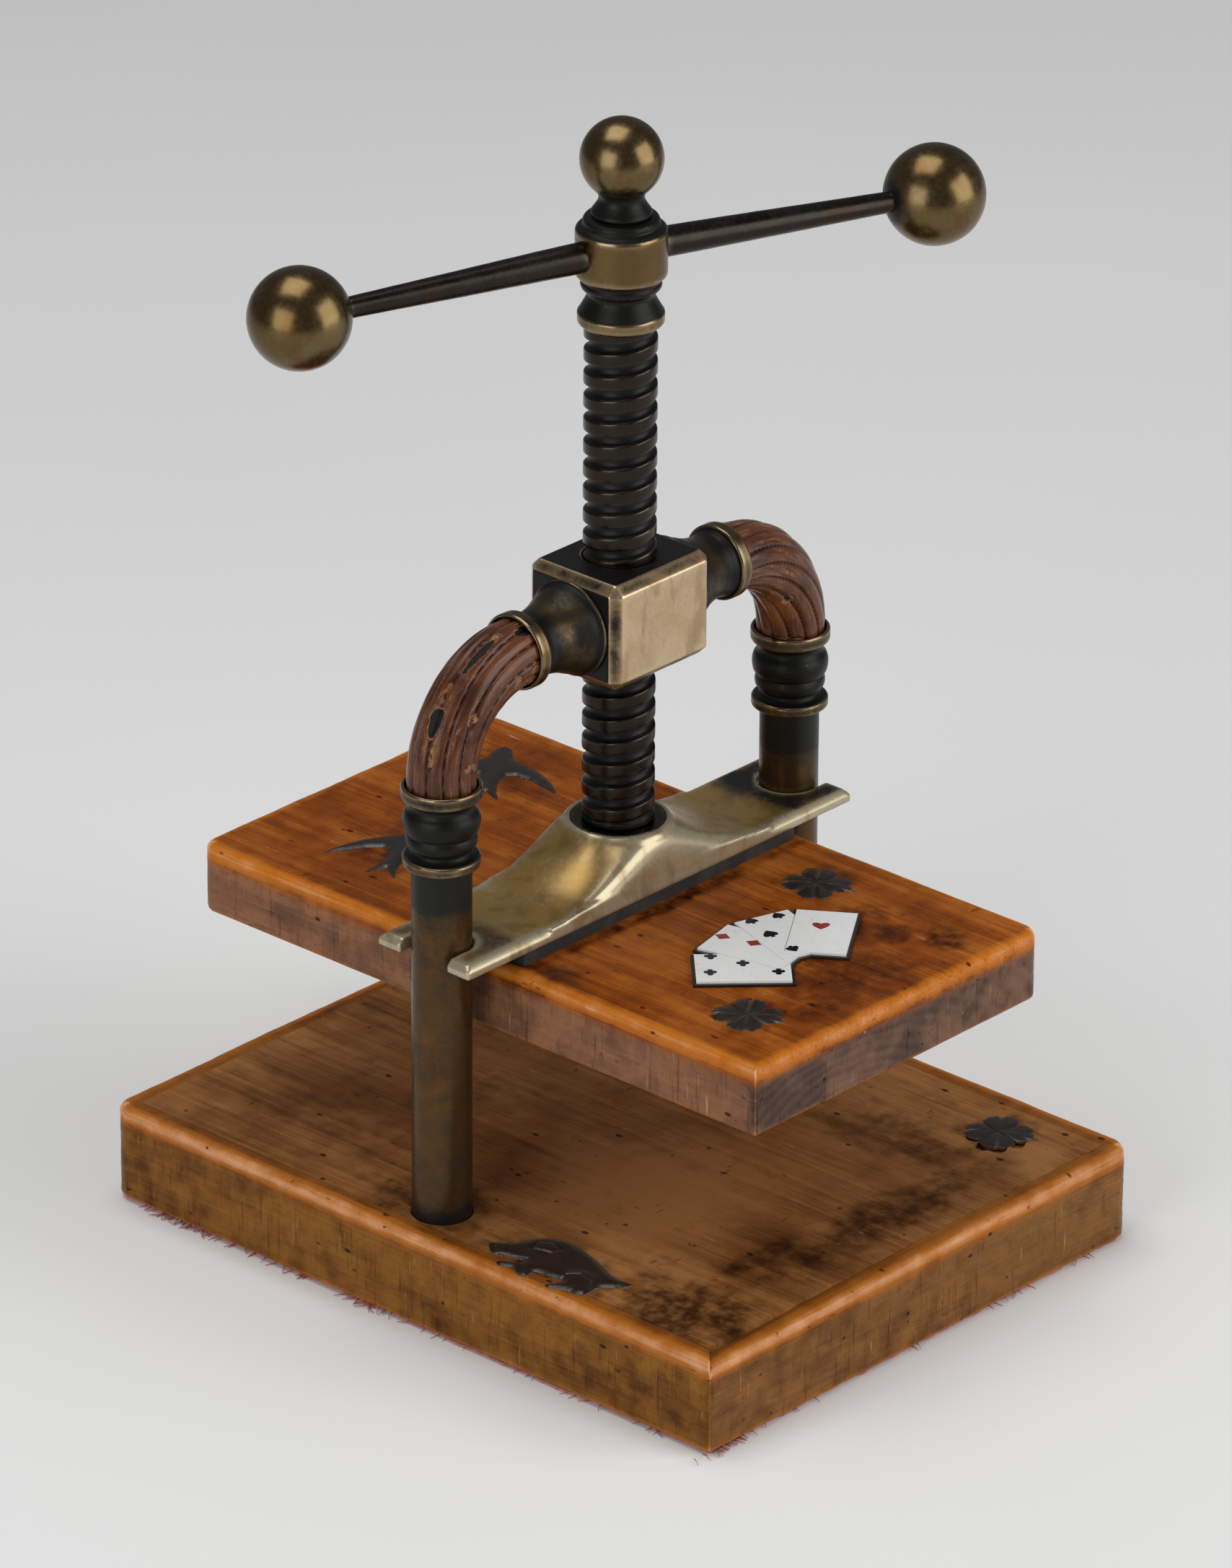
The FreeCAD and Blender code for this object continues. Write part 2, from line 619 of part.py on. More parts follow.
            add_circle(section, x, 0, diameter)
        pipe = body.newObject("PartDesign::AdditivePipe", f"{name}_pipe")
        pipe.Profile = section
        pipe.Spine = (path, ["Edge1", "Edge2", "Edge3"])
        body.Tip = pipe
        return body

    def make_elbow(self, side, word):
        """Metal core and the wooden sleeve over it."""
        c = self.cells
        fit = c["fit_clearance"]
        sleeve_end = self.elbow_end_x - c["cup_depth"] + c["elbow_foot"]
        core_end = c["nut_width"] / 2 + c["boss_flange_width"]
        core = self.bent(f"core_{word}_bent", side, self.cup_floor_z + fit, core_end,
                         [c["core_diameter"]])
        socket = rod(self.doc, f"core_socket_{word}", c["tenon_diameter"] + fit * 2,
                     self.cup_floor_z - 1, self.cup_floor_z + c["tenon_rise"] + fit * 2,
                     self.column_x * side)
        self.keep(f"elbow_core_{word}", cut_from(self.doc, f"core_{word}", core, [socket]))
        sleeve = self.bent(f"sleeve_{word}", side, self.cup_floor_z + fit, sleeve_end + fit,
                           [c["sleeve_diameter"], c["core_diameter"] + fit * 2])
        self.keep(f"elbow_sleeve_{word}", sleeve)

    def make_boss(self, side, word):
        """Turned boss between the elbow and the nut block, lying along X."""
        c = self.cells
        fit = c["fit_clearance"]
        face = c["nut_width"] / 2
        lip = self.elbow_end_x + c["elbow_foot"]
        floor = lip - c["cup_depth"]
        ring_low = lip - c["boss_ring_width"]
        ring = c["boss_ring_diameter"] / 2
        waist = c["boss_waist_diameter"] / 2
        flange = c["boss_flange_diameter"] / 2
        spigot = c["boss_spigot_diameter"] / 2
        recess = c["sleeve_diameter"] / 2 + fit * 2
        bore = c["core_diameter"] / 2 + fit
        bore_end = face + c["boss_flange_width"] - fit
        flange_top = face + c["boss_flange_width"]
        cove_low = flange_top + 0.6
        cove_high = ring_low - 0.6
        rise = flange - 0.8 - waist
        run = cove_high - cove_low
        cove = (run * run + rise * rise) / (rise * 2)
        deep = face - c["boss_spigot_depth"]
        points = [(0, deep), (spigot, deep), (spigot, face), (flange, face),
                  (flange, flange_top), (flange - 0.8, cove_low), (waist, cove_high),
                  (ring - 0.4, ring_low), (ring, ring_low + 0.4), (ring, lip), (recess, lip),
                  (recess, floor), (bore, floor), (bore, bore_end), (0, bore_end)]
        boss = turned(self.doc, f"boss_{word}", points, {5: -cove})
        place(boss, 0, 0, self.nut_z, FreeCAD.Rotation(Vector(0, 1, 0), 90 * side))
        self.keep(f"nut_boss_{word}", boss)

    # Nut block

    def make_nut(self):
        """Bevelled block with the internal square thread."""
        c = self.cells
        doc = self.doc
        half_x = c["nut_width"] / 2
        half_y = c["nut_depth"] / 2
        low = self.nut_z - c["nut_height"] / 2
        corners = [(-half_x, -half_y), (half_x, -half_y), (half_x, half_y), (-half_x, half_y)]
        body = padded(doc, "nut_blank", corners, low, c["nut_height"])
        dress_edges(doc, body, "Chamfer", c["nut_bevel"], lambda edge: True)
        gap = c["thread_clearance"]
        crest = c["screw_diameter"] / 2
        root = crest - c["thread_depth"]
        bore_sketch = new_sketch(body, "nut_bore_outline", "XY_Plane", low - 1)
        add_circle(bore_sketch, 0, 0, (root + gap) * 2)
        bore = body.newObject("PartDesign::Pocket", "nut_bore")
        bore.Profile = bore_sketch
        bore.Reversed = True
        bind(bore, "Length", c["nut_height"] + 2)
        body.Tip = bore
        ridge_low = self.thread_start() + c["thread_pitch"] - c["thread_land"] - gap
        turns = math.floor((low.value - ridge_low.value) / c["thread_pitch"].value) - 1
        groove_low = ridge_low + c["thread_pitch"] * turns
        self.cut_thread(body, "nut_thread", root, crest + gap, groove_low,
                        c["thread_land"] + gap * 2, c["nut_height"] + c["thread_pitch"] * 4)
        spigots = []
        for side, word in ((LEFT, "left"), (RIGHT, "right")):
            hole = doc.addObject("Part::Cylinder", f"spigot_hole_{word}")
            bind(hole, "Radius", c["boss_spigot_diameter"] / 2 + c["fit_clearance"])
            bind(hole, "Height", c["boss_spigot_depth"] + c["fit_clearance"] + 1)
            start = half_x - c["boss_spigot_depth"] - c["fit_clearance"]
            place(hole, start * side, 0, self.nut_z, FreeCAD.Rotation(Vector(0, 1, 0), 90 * side))
            spigots.append(hole)
        self.keep("nut_block", cut_from(doc, "nut", body, spigots))

    def thread_start(self):
        """Lowest flank of the screw's groove, over the plain shoulder."""
        return self.keeper_top + self.cells["running_clearance"] + self.cells["screw_plain"]

    def cut_thread(self, body, name, inner, outer, low, width, height):
        """Right-hand square groove between two radii."""
        sketch = new_sketch(body, f"{name}_outline", "XZ_Plane")
        add_outline(sketch, [(inner, low), (outer, low), (outer, low + width),
                             (inner, low + width)], {})
        helix = body.newObject("PartDesign::SubtractiveHelix", name)
        helix.Profile = sketch
        helix.ReferenceAxis = (sketch, ["V_Axis"])
        helix.Mode = 0
        helix.Angle = 0
        helix.Growth = 0
        helix.LeftHanded = False
        helix.Reversed = False
        bind(helix, "Pitch", self.cells["thread_pitch"])
        bind(helix, "Height", height)
        body.Tip = helix

    # Screw and handle

    def make_screw(self):
        """Screw with its foot, neck, threaded shaft and tenon."""
        c = self.cells
        run = c["running_clearance"]
        foot = c["screw_foot_diameter"] / 2
        neck = c["screw_neck_diameter"] / 2
        crest = c["screw_diameter"] / 2
        tenon = c["screw_tenon_diameter"] / 2
        low = self.bridge_z + c["thrust_pad_thickness"] + run
        foot_top = self.keeper_z - run
        neck_top = self.keeper_top + run
        shaft_top = self.handle_z - c["head_collar_drop"]
        top = self.handle_z - c["screw_tenon_gap"]
        points = [(0, low), (foot - 1.2, low), (foot, low + 1.2), (foot, foot_top),
                  (neck, foot_top), (neck, neck_top), (crest, neck_top), (crest, shaft_top),
                  (tenon, shaft_top), (tenon, top), (0, top)]
        body = turned(self.doc, "screw", points)
        start = self.thread_start()
        width = c["thread_pitch"] - c["thread_land"]
        self.cut_thread(body, "screw_thread", crest - c["thread_depth"], crest + 1, start, width,
                        shaft_top - start)
        self.keep("press_screw", body)

    def arm_rotation(self, side):
        """Turn from +Z to the way in which one handle arm points."""
        turn = math.radians(self.cells["handle_turn"].value)
        droop = math.radians(self.cells["handle_droop"].value)
        way = Vector(side * math.cos(turn) * math.cos(droop),
                     side * math.sin(turn) * math.cos(droop), -math.sin(droop))
        return FreeCAD.Rotation(Vector(0, 0, 1), way), way

    def make_head(self):
        """Turned head over the screw, with sockets for the two arms."""
        c = self.cells
        fit = c["fit_clearance"]
        z = self.handle_z
        bore = c["screw_tenon_diameter"] / 2 + fit
        collar = c["head_collar_diameter"] / 2
        waist = c["head_waist_diameter"] / 2
        step = c["head_step_diameter"] / 2
        barrel = c["barrel_diameter"] / 2
        top = c["head_top_diameter"] / 2
        half = c["barrel_half_height"]
        low = z - c["head_collar_drop"]
        collar_top = low + c["head_collar_height"]
        waist_z = z - c["head_waist_drop"]
        step_z = z - half - 3.2
        summit = z + half + c["head_top_height"]
        spigot = c["finial_spigot_diameter"] / 2 + fit
        spigot_floor = summit - c["finial_spigot_depth"] - fit
        bore_top = z - c["screw_tenon_gap"] + fit
        points = [(bore, low), (collar - 0.8, low), (collar, low + 0.8), (collar, collar_top),
                  (waist, waist_z), (step - 0.7, step_z - 0.4), (step, step_z),
                  (step, z - half - 1.4), (barrel - 0.8, z - half), (barrel, z - half + 0.8),
                  (barrel, z + half - 0.8), (barrel - 0.8, z + half), (top, z + half),
                  (top, summit), (spigot, summit), (spigot, spigot_floor), (0, spigot_floor),
                  (0, bore_top), (bore, bore_top)]
        blank = turned(self.doc, "head_blank", points)
        tools = []
        for side, word in ((LEFT, "left"), (RIGHT, "right")):
            rotation, way = self.arm_rotation(side)
            socket = self.doc.addObject("Part::Cylinder", f"arm_socket_{word}")
            bind(socket, "Radius", c["arm_tenon_diameter"] / 2 + fit)
            depth = barrel - c["arm_tenon_length"] - fit
            bind(socket, "Height", c["arm_tenon_length"] + fit + 2)
            place(socket, depth * way.x, depth * way.y, z + depth * way.z, rotation)
            tools.append(socket)
            seat = self.doc.addObject("Part::Cylinder", f"arm_seat_{word}")
            bind(seat, "Radius", c["arm_root_diameter"] / 2 + fit)
            bind(seat, "Height", 3)
            floor = barrel - 1
            place(seat, floor * way.x, floor * way.y, z + floor * way.z, rotation)
            tools.append(seat)
        self.keep("screw_head", cut_from(self.doc, "head", blank, tools))

    def make_finial(self):
        """Ball finial with its neck, bead and spigot."""
        c = self.cells
        seat = self.handle_z + c["barrel_half_height"] + c["head_top_height"]
        spigot = c["finial_spigot_diameter"] / 2
        bead = c["finial_bead_diameter"] / 2
        neck = c["finial_neck_diameter"] / 2
        ball = c["finial_diameter"] / 2
        centre = self.handle_z + c["finial_rise"]
        drop = math.sqrt(ball.value ** 2 - neck.value ** 2) / ball.value
        join_z = centre - ball * drop
        bead_top = seat + c["finial_bead_height"]
        bead_low = bead - 0.8
        lip = neck + 0.4
        arc = bead_radius(c["finial_bead_height"], bead * 0.12)
        points = [(0, seat - c["finial_spigot_depth"]), (spigot, seat - c["finial_spigot_depth"]),
                  (spigot, seat), (bead_low, seat), (bead_low, bead_top), (lip, bead_top + 0.5),
                  (neck, join_z), (0, centre + ball)]
        finial = turned(self.doc, "finial", points, {3: arc, 6: ball})
        self.keep("finial_knob", finial)

    def make_handle(self):
        """Two tapered arms with a ball on each."""
        c = self.cells
        fit = c["fit_clearance"]
        tenon = c["arm_tenon_diameter"] / 2
        root = c["arm_root_diameter"] / 2
        tip = c["arm_tip_diameter"] / 2
        ball = c["handle_ball_diameter"] / 2
        start = c["barrel_diameter"] / 2 - 1
        tenon_start = c["barrel_diameter"] / 2 - c["arm_tenon_length"]
        end = c["handle_reach"] - ball + 1
        points = [(0, tenon_start), (tenon, tenon_start), (tenon, start), (root, start),
                  (tip, end), (tenon, end), (tenon, end + c["arm_tenon_length"]),
                  (0, end + c["arm_tenon_length"])]
        for side, word in ((LEFT, "left"), (RIGHT, "right")):
            rotation, way = self.arm_rotation(side)
            arm = turned(self.doc, f"arm_{word}", points)
            place(arm, 0, 0, self.handle_z, rotation)
            self.keep(f"handle_arm_{word}", arm)
            sphere = self.doc.addObject("Part::Sphere", f"ball_{word}_blank")
            bind(sphere, "Radius", ball)
            reach = c["handle_reach"]
            place(sphere, reach * way.x, reach * way.y, self.handle_z + reach * way.z, rotation)
            hole = self.doc.addObject("Part::Cylinder", f"ball_hole_{word}")
            bind(hole, "Radius", tenon + fit)
            bind(hole, "Height", c["arm_tenon_length"] + fit + 4)
            near = end - 4
            place(hole, near * way.x, near * way.y, self.handle_z + near * way.z, rotation)
            seat = self.doc.addObject("Part::Cylinder", f"ball_seat_{word}")
            bind(seat, "Radius", tip + fit)
            bind(seat, "Height", 4)
            place(seat, near * way.x, near * way.y, self.handle_z + near * way.z, rotation)
            self.keep(f"handle_ball_{word}", cut_from(self.doc, f"ball_{word}", sphere, [hole, seat]))

    # Pressing board, bridge and what they hold

    def make_platen(self):
        """Pressing board with pockets for its inlays and holes for the bridge bolts."""
        c = self.cells
        doc = self.doc
        half_x = self.platen_half
        half_y = c["platen_length"] / 2
        corners = [(-half_x, -half_y), (half_x, -half_y), (half_x, half_y), (-half_x, half_y)]
        board = padded(doc, "platen_blank", corners, self.platen_z, c["platen_thickness"])
        sharp_x = -half_x.value
        sharp_y = -half_y.value
        dress_edges(doc, board, "Fillet", c["platen_corner_round"],
                    lambda edge: is_upright(edge) and not is_over(edge, sharp_x, sharp_y))
        top = self.platen_top.value
        dress_edges(doc, board, "Fillet", c["platen_round"],
                    lambda edge: edge.BoundBox.ZMin > top - 1e-6)
        inlays = [
            self.clover("clover_inlay_front", self.platen_top, c["front_clover_inset"] - half_x,
                        c["front_clover_ahead"] - half_y, 0.0),
            self.clover("clover_inlay_back", self.platen_top, half_x - c["back_clover_inset"],
                        c["back_clover_ahead"] - half_y, 8.0),
            self.swallow("swallow_inlay_right", half_x - c["right_swallow_inset"],
                         half_y - c["right_swallow_behind"], 32.0),
            self.swallow("swallow_inlay_left", c["left_swallow_inset"] - half_x,
                         half_y - c["left_swallow_behind"], 20.0),
        ]
        plate = self.make_cards()
        bolts = self.bolt_set("bolt_hole", c["fit_clearance"])
        self.keep("platen_board", cut_from(doc, "platen", board, inlays + [plate] + bolts))

    def bolt_set(self, name, clearance):
        """Shank and head of each bridge bolt, or the holes for them."""
        c = self.cells
        tools = []
        head_low = self.platen_z + c["bolt_head_recess"] - clearance * 20
        head_top = self.platen_z + c["bolt_head_recess"] + c["bolt_head_height"]
        top = self.bridge_z + c["bolt_reach"] + clearance
        number = 0
        for side_x in (LEFT, RIGHT):
            for side_y in (-1, 1):
                number += 1
                x = c["bolt_offset_across"] * side_x
                y = c["bolt_offset_along"] * side_y
                shank = rod(self.doc, f"{name}_shank_{number}", c["bolt_diameter"] + clearance * 2,
                            head_low, top, x, y)
                head = rod(self.doc, f"{name}_head_{number}",
                           c["bolt_head_diameter"] + clearance * 2, head_low, head_top, x, y)
                tools.append(join(self.doc, f"{name}_{number}", [shank, head]))
        return tools

    def make_bridge(self):
        """Brass bridge: forked bar with a hollow-sided hump that holds the screw's foot."""
        c = self.cells
        doc = self.doc
        fit = c["fit_clearance"]
        half_x = self.column_x + c["bridge_tip"]
        half_y = c["bridge_depth"] / 2
        arm_top = self.bridge_z + c["bridge_thickness"]
        corners = [(-half_x, -half_y), (half_x, -half_y), (half_x, half_y), (-half_x, half_y)]
        bar = padded(doc, "bridge_bar", corners, self.bridge_z, c["bridge_thickness"])
        level = arm_top.value
        dress_edges(doc, bar, "Chamfer", c["bridge_bevel"],
                    lambda edge: edge.BoundBox.ZMin > level - 1e-6)
        reach = c["hump_reach"]
        rim = c["hump_top_diameter"] / 2
        rise = self.hump_top - arm_top
        run = reach - rim
        hollow = (run * run + rise * rise) / (rise * 2)
        flare = turned(doc, "hump_flare", [(0, self.bridge_z), (reach, self.bridge_z),
                                           (reach, arm_top), (rim, self.hump_top),
                                           (0, self.hump_top)], {2: -hollow})
        slab = block(doc, "hump_slab", (-reach, -half_y, self.bridge_z),
                     (reach, half_y, self.hump_top))
        hump = doc.addObject("Part::Common", "hump")
        hump.Base = flare
        hump.Tool = slab
        blank = join(doc, "bridge_blank", [bar, hump])
        slot = c["column_diameter"] + c["fork_clearance"] * 2
        tools = [
            rod(doc, "keeper_seat", c["keeper_diameter"] + fit * 2, self.keeper_z,
                self.hump_top + 1),
            rod(doc, "foot_chamber", c["screw_foot_diameter"] + c["running_clearance"] * 2,
                self.bridge_z - 1, self.hump_top),
        ]
        for side, word in ((LEFT, "left"), (RIGHT, "right")):
            x = self.column_x * side
            tools.append(rod(doc, f"fork_round_{word}", slot, self.bridge_z - 1, arm_top + 1, x))
            ends = (x, half_x * side * 1.1)
            low_x, high_x = (ends[1], ends[0]) if side == LEFT else ends
            tools.append(block(doc, f"fork_slot_{word}", (low_x, -slot / 2, self.bridge_z - 1),
                               (high_x, slot / 2, arm_top + 1)))
        tools += self.bolt_set("bridge_bolt_hole", c["fit_clearance"])
        self.keep("bridge", cut_from(doc, "bridge_cut", blank, tools))
        self.keep("bridge_bolts", self.group("bolts", self.bolt_set("bolt", as_size(0))))

    def make_bearing(self):
        """Shim, thrust pad and the split keeper ring."""
        c = self.cells
        doc = self.doc
        fit = c["fit_clearance"]
        shim_x = self.platen_half - c["shim_end_inset"]
        shim_y = c["bridge_depth"] / 2 - c["shim_inset"]
        slab = block(doc, "shim_slab", (-shim_x, -shim_y, self.platen_top),
                     (shim_x, shim_y, self.bridge_z))
        self.keep("bridge_shim", cut_from(doc, "shim", slab, self.bolt_set("shim_hole", fit)))
        pad_top = self.bridge_z + c["thrust_pad_thickness"]
        pad = rod(doc, "pad", c["thrust_pad_diameter"], self.bridge_z, pad_top)
        self.keep("thrust_pad", pad)
        run = c["running_clearance"]
        outer = c["keeper_diameter"] / 2
        for side, word in ((-1, "front"), (1, "back")):
            disc = rod(doc, f"keeper_disc_{word}", c["keeper_diameter"], self.keeper_z,
                       self.keeper_top)
            hole = rod(doc, f"keeper_hole_{word}", c["screw_neck_diameter"] + run * 2,
                       self.keeper_z - 1, self.keeper_top + 1)
            edge = c["keeper_split"] / 2
            if side < 0:
                low, high = (-outer - 1, -edge), (outer + 1, outer + 1)
            else:
                low, high = (-outer - 1, -outer - 1), (outer + 1, edge)
            away = block(doc, f"keeper_away_{word}", (low[0], low[1], self.keeper_z - 1),
                         (high[0], high[1], self.keeper_top + 1))
            half = cut_from(doc, f"keeper_{word}", disc, [hole, away])
            self.keep(f"keeper_half_{word}", half)

    def make_cards(self):
        """Fan of four enamel cards on a black plate; returns the plate."""
        c = self.cells
        doc = self.doc
        border = c["card_border"]
        plate_top = self.platen_top + c["card_plate_rise"]
        plate_low = self.platen_top - c["inlay_depth"]
        fan = (("clubs", -0.784, -0.072, -135.5), ("diamonds", -0.644, 0.004, 12.5),
               ("spades", 0.072, 0.124, -18.0), ("heart", 0.76, -0.144, -55.8))
        cards = []
        boards = []
        for word, across, along, turn in fan:
            x = across * c["card_height"].value
            y = along * c["card_height"].value - c["fan_ahead"].value
            rotation = FreeCAD.Rotation(Vector(0, 0, 1), turn)
            if word == "clubs":
                rotation = FreeCAD.Rotation(Vector(0, 0, 1), turn + 180)
                shift = rotation.multVec(Vector(-c["card_width"].value, 0, 0))
                x, y = x + shift.x, y + shift.y
            corner = rotation.multVec(Vector(0, -c["card_height"].value, 0))
            card = doc.addObject("Part::Box", f"card_{word}")
            bind(card, "Length", c["card_width"])
            bind(card, "Width", c["card_height"])
            bind(card, "Height", c["card_thickness"])
            place(card, x + corner.x, y + corner.y, plate_top, rotation)
            cards.append((word, card, x, y, rotation))
            outward = rotation.multVec(Vector(-border.value, -c["card_height"].value - border.value, 0))
            board = doc.addObject("Part::Box", f"card_board_{word}")
            bind(board, "Length", c["card_width"] + border * 2)
            bind(board, "Width", c["card_height"] + border * 2)
            bind(board, "Height", plate_top - plate_low)
            place(board, x + outward.x, y + outward.y, plate_low, rotation)
            boards.append(board)
        gap = c["card_joint"]
        for index, (word, card, x, y, rotation) in enumerate(cards):
            over = []
            for later, (cover, top_card, cover_x, cover_y, cover_rotation) in enumerate(cards):
                if later <= index:
                    continue
                grown = doc.addObject("Part::Box", f"cover_{word}_{cover}")
                bind(grown, "Length", c["card_width"] + gap * 2)
                bind(grown, "Width", c["card_height"] + gap * 2)
                bind(grown, "Height", c["card_thickness"] + 2)
                corner = cover_rotation.multVec(
                    Vector(-gap.value, -c["card_height"].value - gap.value, 0))
                place(grown, cover_x + corner.x, cover_y + corner.y, plate_top - 1, cover_rotation)
                over.append(grown)
            piece = cut_from(doc, f"enamel_{word}", card, over) if over else card
            self.keep(f"enamel_card_{word}", piece)
        return self.keep("card_plate", join(doc, "card_plate_boards", boards))

    # Inlaid figures, let into the boards

    def inlay(self, corners, x, y, turn, curved=False):
        """Thin plate from an outline of its own, and its place on a board."""
        c = self.cells
        low = -c["inlay_depth"].value
        thick = c["inlay_depth"].value + c["inlay_rise"].value
        points = [Vector(a, b, low) for a, b in corners]
        if curved:
            points = cut_corners(points)
        wire = Part.makePolygon(points + points[:1])
        solid = Part.Face(wire).extrude(Vector(0, 0, thick))
        return solid, (x, y, turn)

    def set_inlay(self, node, solid, place_on, top):
        """Keep an inlay as a feature at its place on the board."""
        x, y, turn = place_on
        feature = self.doc.addObject("Part::Feature", f"{node}_plate")
        feature.Shape = solid
        feature.Placement = FreeCAD.Placement(Vector(x.value, y.value, top.value),
                                              FreeCAD.Rotation(Vector(0, 0, 1), turn))
        return self.keep(node, feature)

    def clover(self, node, top, x, y, turn):
        """Four uneven notched leaves round a centre, and a stem beside the last leaf."""
        c = self.cells
        radius = c["clover_radius"].value
        leaves = [(0.21, -0.12), (0.49, -0.20), (0.70, -0.06), (0.78, 0.17), (0.64, 0.34),
                  (0.63, 0.55), (0.49, 0.75), (0.28, 0.78), (0.10, 0.60), (0.0, 0.34),
                  (-0.05, 0.66), (-0.21, 0.82), (-0.46, 0.76), (-0.55, 0.59), (-0.81, 0.58),
                  (-0.99, 0.34), (-0.91, 0.10), (-0.64, 0.0), (-1.02, 0.04), (-1.23, -0.16),
                  (-1.22, -0.39), (-1.04, -0.52), (-1.06, -0.75), (-0.87, -0.92),
                  (-0.62, -0.86), (-0.41, -0.64), (-0.49, -0.98), (-0.26, -1.13),
                  (0.0, -1.0), (0.21, -0.91), (0.23, -0.60), (0.12, -0.30)]
        corners = [(a * radius, b * radius) for a, b in leaves]
        solid, spot = self.inlay(corners, x, y, turn, curved=True)
        low = -c["inlay_depth"].value
        thick = c["inlay_depth"].value + c["inlay_rise"].value
        half = c["clover_stem_width"].value / 2
        stem = Part.makeBox(c["clover_stem_length"].value, half * 2, thick, Vector(0, -half, low))
        stem.rotate(Vector(), Vector(0, 0, 1), -61.0)
        return self.set_inlay(node, solid.fuse(stem).removeSplitter(), spot, top)

    def swallow(self, node, x, y, turn):
        """Flying swallow, beak along local X, both wings swept back."""
        length = self.cells["swallow_length"].value
        half = [(0.50, 0.0), (0.45, 0.062), (0.35, 0.09), (0.26, 0.11), (0.185, 0.215),
                (0.06, 0.36), (-0.11, 0.48), (-0.30, 0.56), (-0.18, 0.41), (-0.075, 0.285),
                (-0.022, 0.17), (-0.05, 0.10), (-0.215, 0.072), (-0.34, 0.09),
                (-0.50, 0.135), (-0.41, 0.055), (-0.34, 0.0)]
        corners = [(a * length, b * length) for a, b in half]
        corners += [(a * length, -b * length) for a, b in half[-2:0:-1]]
        top = self.platen_top
        solid, spot = self.inlay(corners, x, y, turn)
        return self.set_inlay(node, solid, spot, top)

    def pig(self):
        """Running pig, snout along local X and back along local Y."""
        c = self.cells
        length = c["pig_length"].value
        shape = [(0.50, -0.04), (0.42, -0.11), (0.375, -0.13), (0.335, -0.11), (0.265, -0.08),
                 (0.19, -0.07), (0.185, -0.12), (0.25, -0.14), (0.31, -0.175), (0.27, -0.215),
                 (0.215, -0.205), (0.175, -0.175), (0.115, -0.215), (0.065, -0.225),
                 (0.035, -0.205), (0.05, -0.15), (0.01, -0.115), (-0.06, -0.11),
                 (-0.135, -0.09), (-0.17, -0.12), (-0.10, -0.205), (-0.13, -0.225),
                 (-0.18, -0.21), (-0.27, -0.17), (-0.325, -0.175), (-0.37, -0.15),
                 (-0.37, -0.105), (-0.365, -0.04), (-0.38, -0.01), (-0.46, 0.05),
                 (-0.50, 0.145), (-0.435, 0.14), (-0.38, 0.135), (-0.305, 0.15),
                 (-0.25, 0.17), (-0.13, 0.225), (-0.03, 0.255), (0.06, 0.275), (0.145, 0.285),
                 (0.21, 0.265), (0.28, 0.235), (0.33, 0.175), (0.345, 0.11), (0.385, 0.05),
                 (0.445, 0.01)]
        corners = [(a * length, -b * length) for a, b in shape]
        solid, spot = self.inlay(corners, c["pig_inset"] - self.base_left, -c["pig_ahead"], 90.0,
                                 curved=True)
        return self.set_inlay("pig_inlay", solid, spot, self.base_top)

    def make_all(self):
        """Build every piece."""
        self.make_base()
        self.make_columns()
        self.make_nut()
        self.make_platen()
        self.make_bridge()
        self.make_bearing()
        self.make_screw()
        self.make_head()
        self.make_finial()
        self.make_handle()


def check(doc, pieces):
    """Stop if any object failed or any piece isn't a valid solid."""
    for item in doc.Objects:
        if "Invalid" in item.State or "Error" in item.State:
            raise RuntimeError(f"{item.Name} failed: {item.State}")
    for node, item in pieces.items():
        if item.Shape.isNull() or not item.Shape.isValid() or not item.Shape.Solids:
            raise RuntimeError(f"{node} has no valid solid")


def main():
    """Build the press, check it and write one STEP file for each piece."""
    doc = FreeCAD.newDocument("card_press")
    press = Press(doc, write_sheet(doc))
    press.make_all()
    doc.recompute()
    check(doc, press.pieces)
    os.makedirs("parts", exist_ok=True)
    for node, item in press.pieces.items():
        item.Shape.exportStep(f"parts/{node}.step")
    print(len(press.pieces), "pieces written")


main()
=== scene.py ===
"""Looks of the playing card press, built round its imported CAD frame.

Lengths are millimetres in the row frame until a mesh is made: X runs across the two
columns, Y along the boards with the front at -Y, and Z goes up from the baize.
"""
import logging
import math
from dataclasses import dataclass
from dataclasses import field
from enum import Enum
from typing import Callable
from typing import Optional
from typing import Sequence
from typing import Union

import bpy
import numpy as np
from mathutils import Matrix
from mathutils import Vector


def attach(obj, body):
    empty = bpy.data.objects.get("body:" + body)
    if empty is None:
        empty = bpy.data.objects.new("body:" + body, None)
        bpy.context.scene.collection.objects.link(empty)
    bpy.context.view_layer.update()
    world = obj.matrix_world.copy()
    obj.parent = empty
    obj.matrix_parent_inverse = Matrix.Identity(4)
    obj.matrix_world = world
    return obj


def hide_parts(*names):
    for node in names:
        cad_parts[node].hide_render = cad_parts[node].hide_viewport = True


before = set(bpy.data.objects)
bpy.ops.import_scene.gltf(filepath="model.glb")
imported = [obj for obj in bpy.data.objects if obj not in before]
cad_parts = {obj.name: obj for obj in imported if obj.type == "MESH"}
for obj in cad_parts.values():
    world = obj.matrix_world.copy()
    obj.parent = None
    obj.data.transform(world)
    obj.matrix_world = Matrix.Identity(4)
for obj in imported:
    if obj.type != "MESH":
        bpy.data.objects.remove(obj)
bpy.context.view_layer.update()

MM = 0.001
LOG = logging.getLogger("card_press")
Array = np.ndarray
Number = Union[int, float]
Weather = Callable[[Array, Array], tuple[Array, Array]]
Patch = tuple[float, float, float, float, float, float]

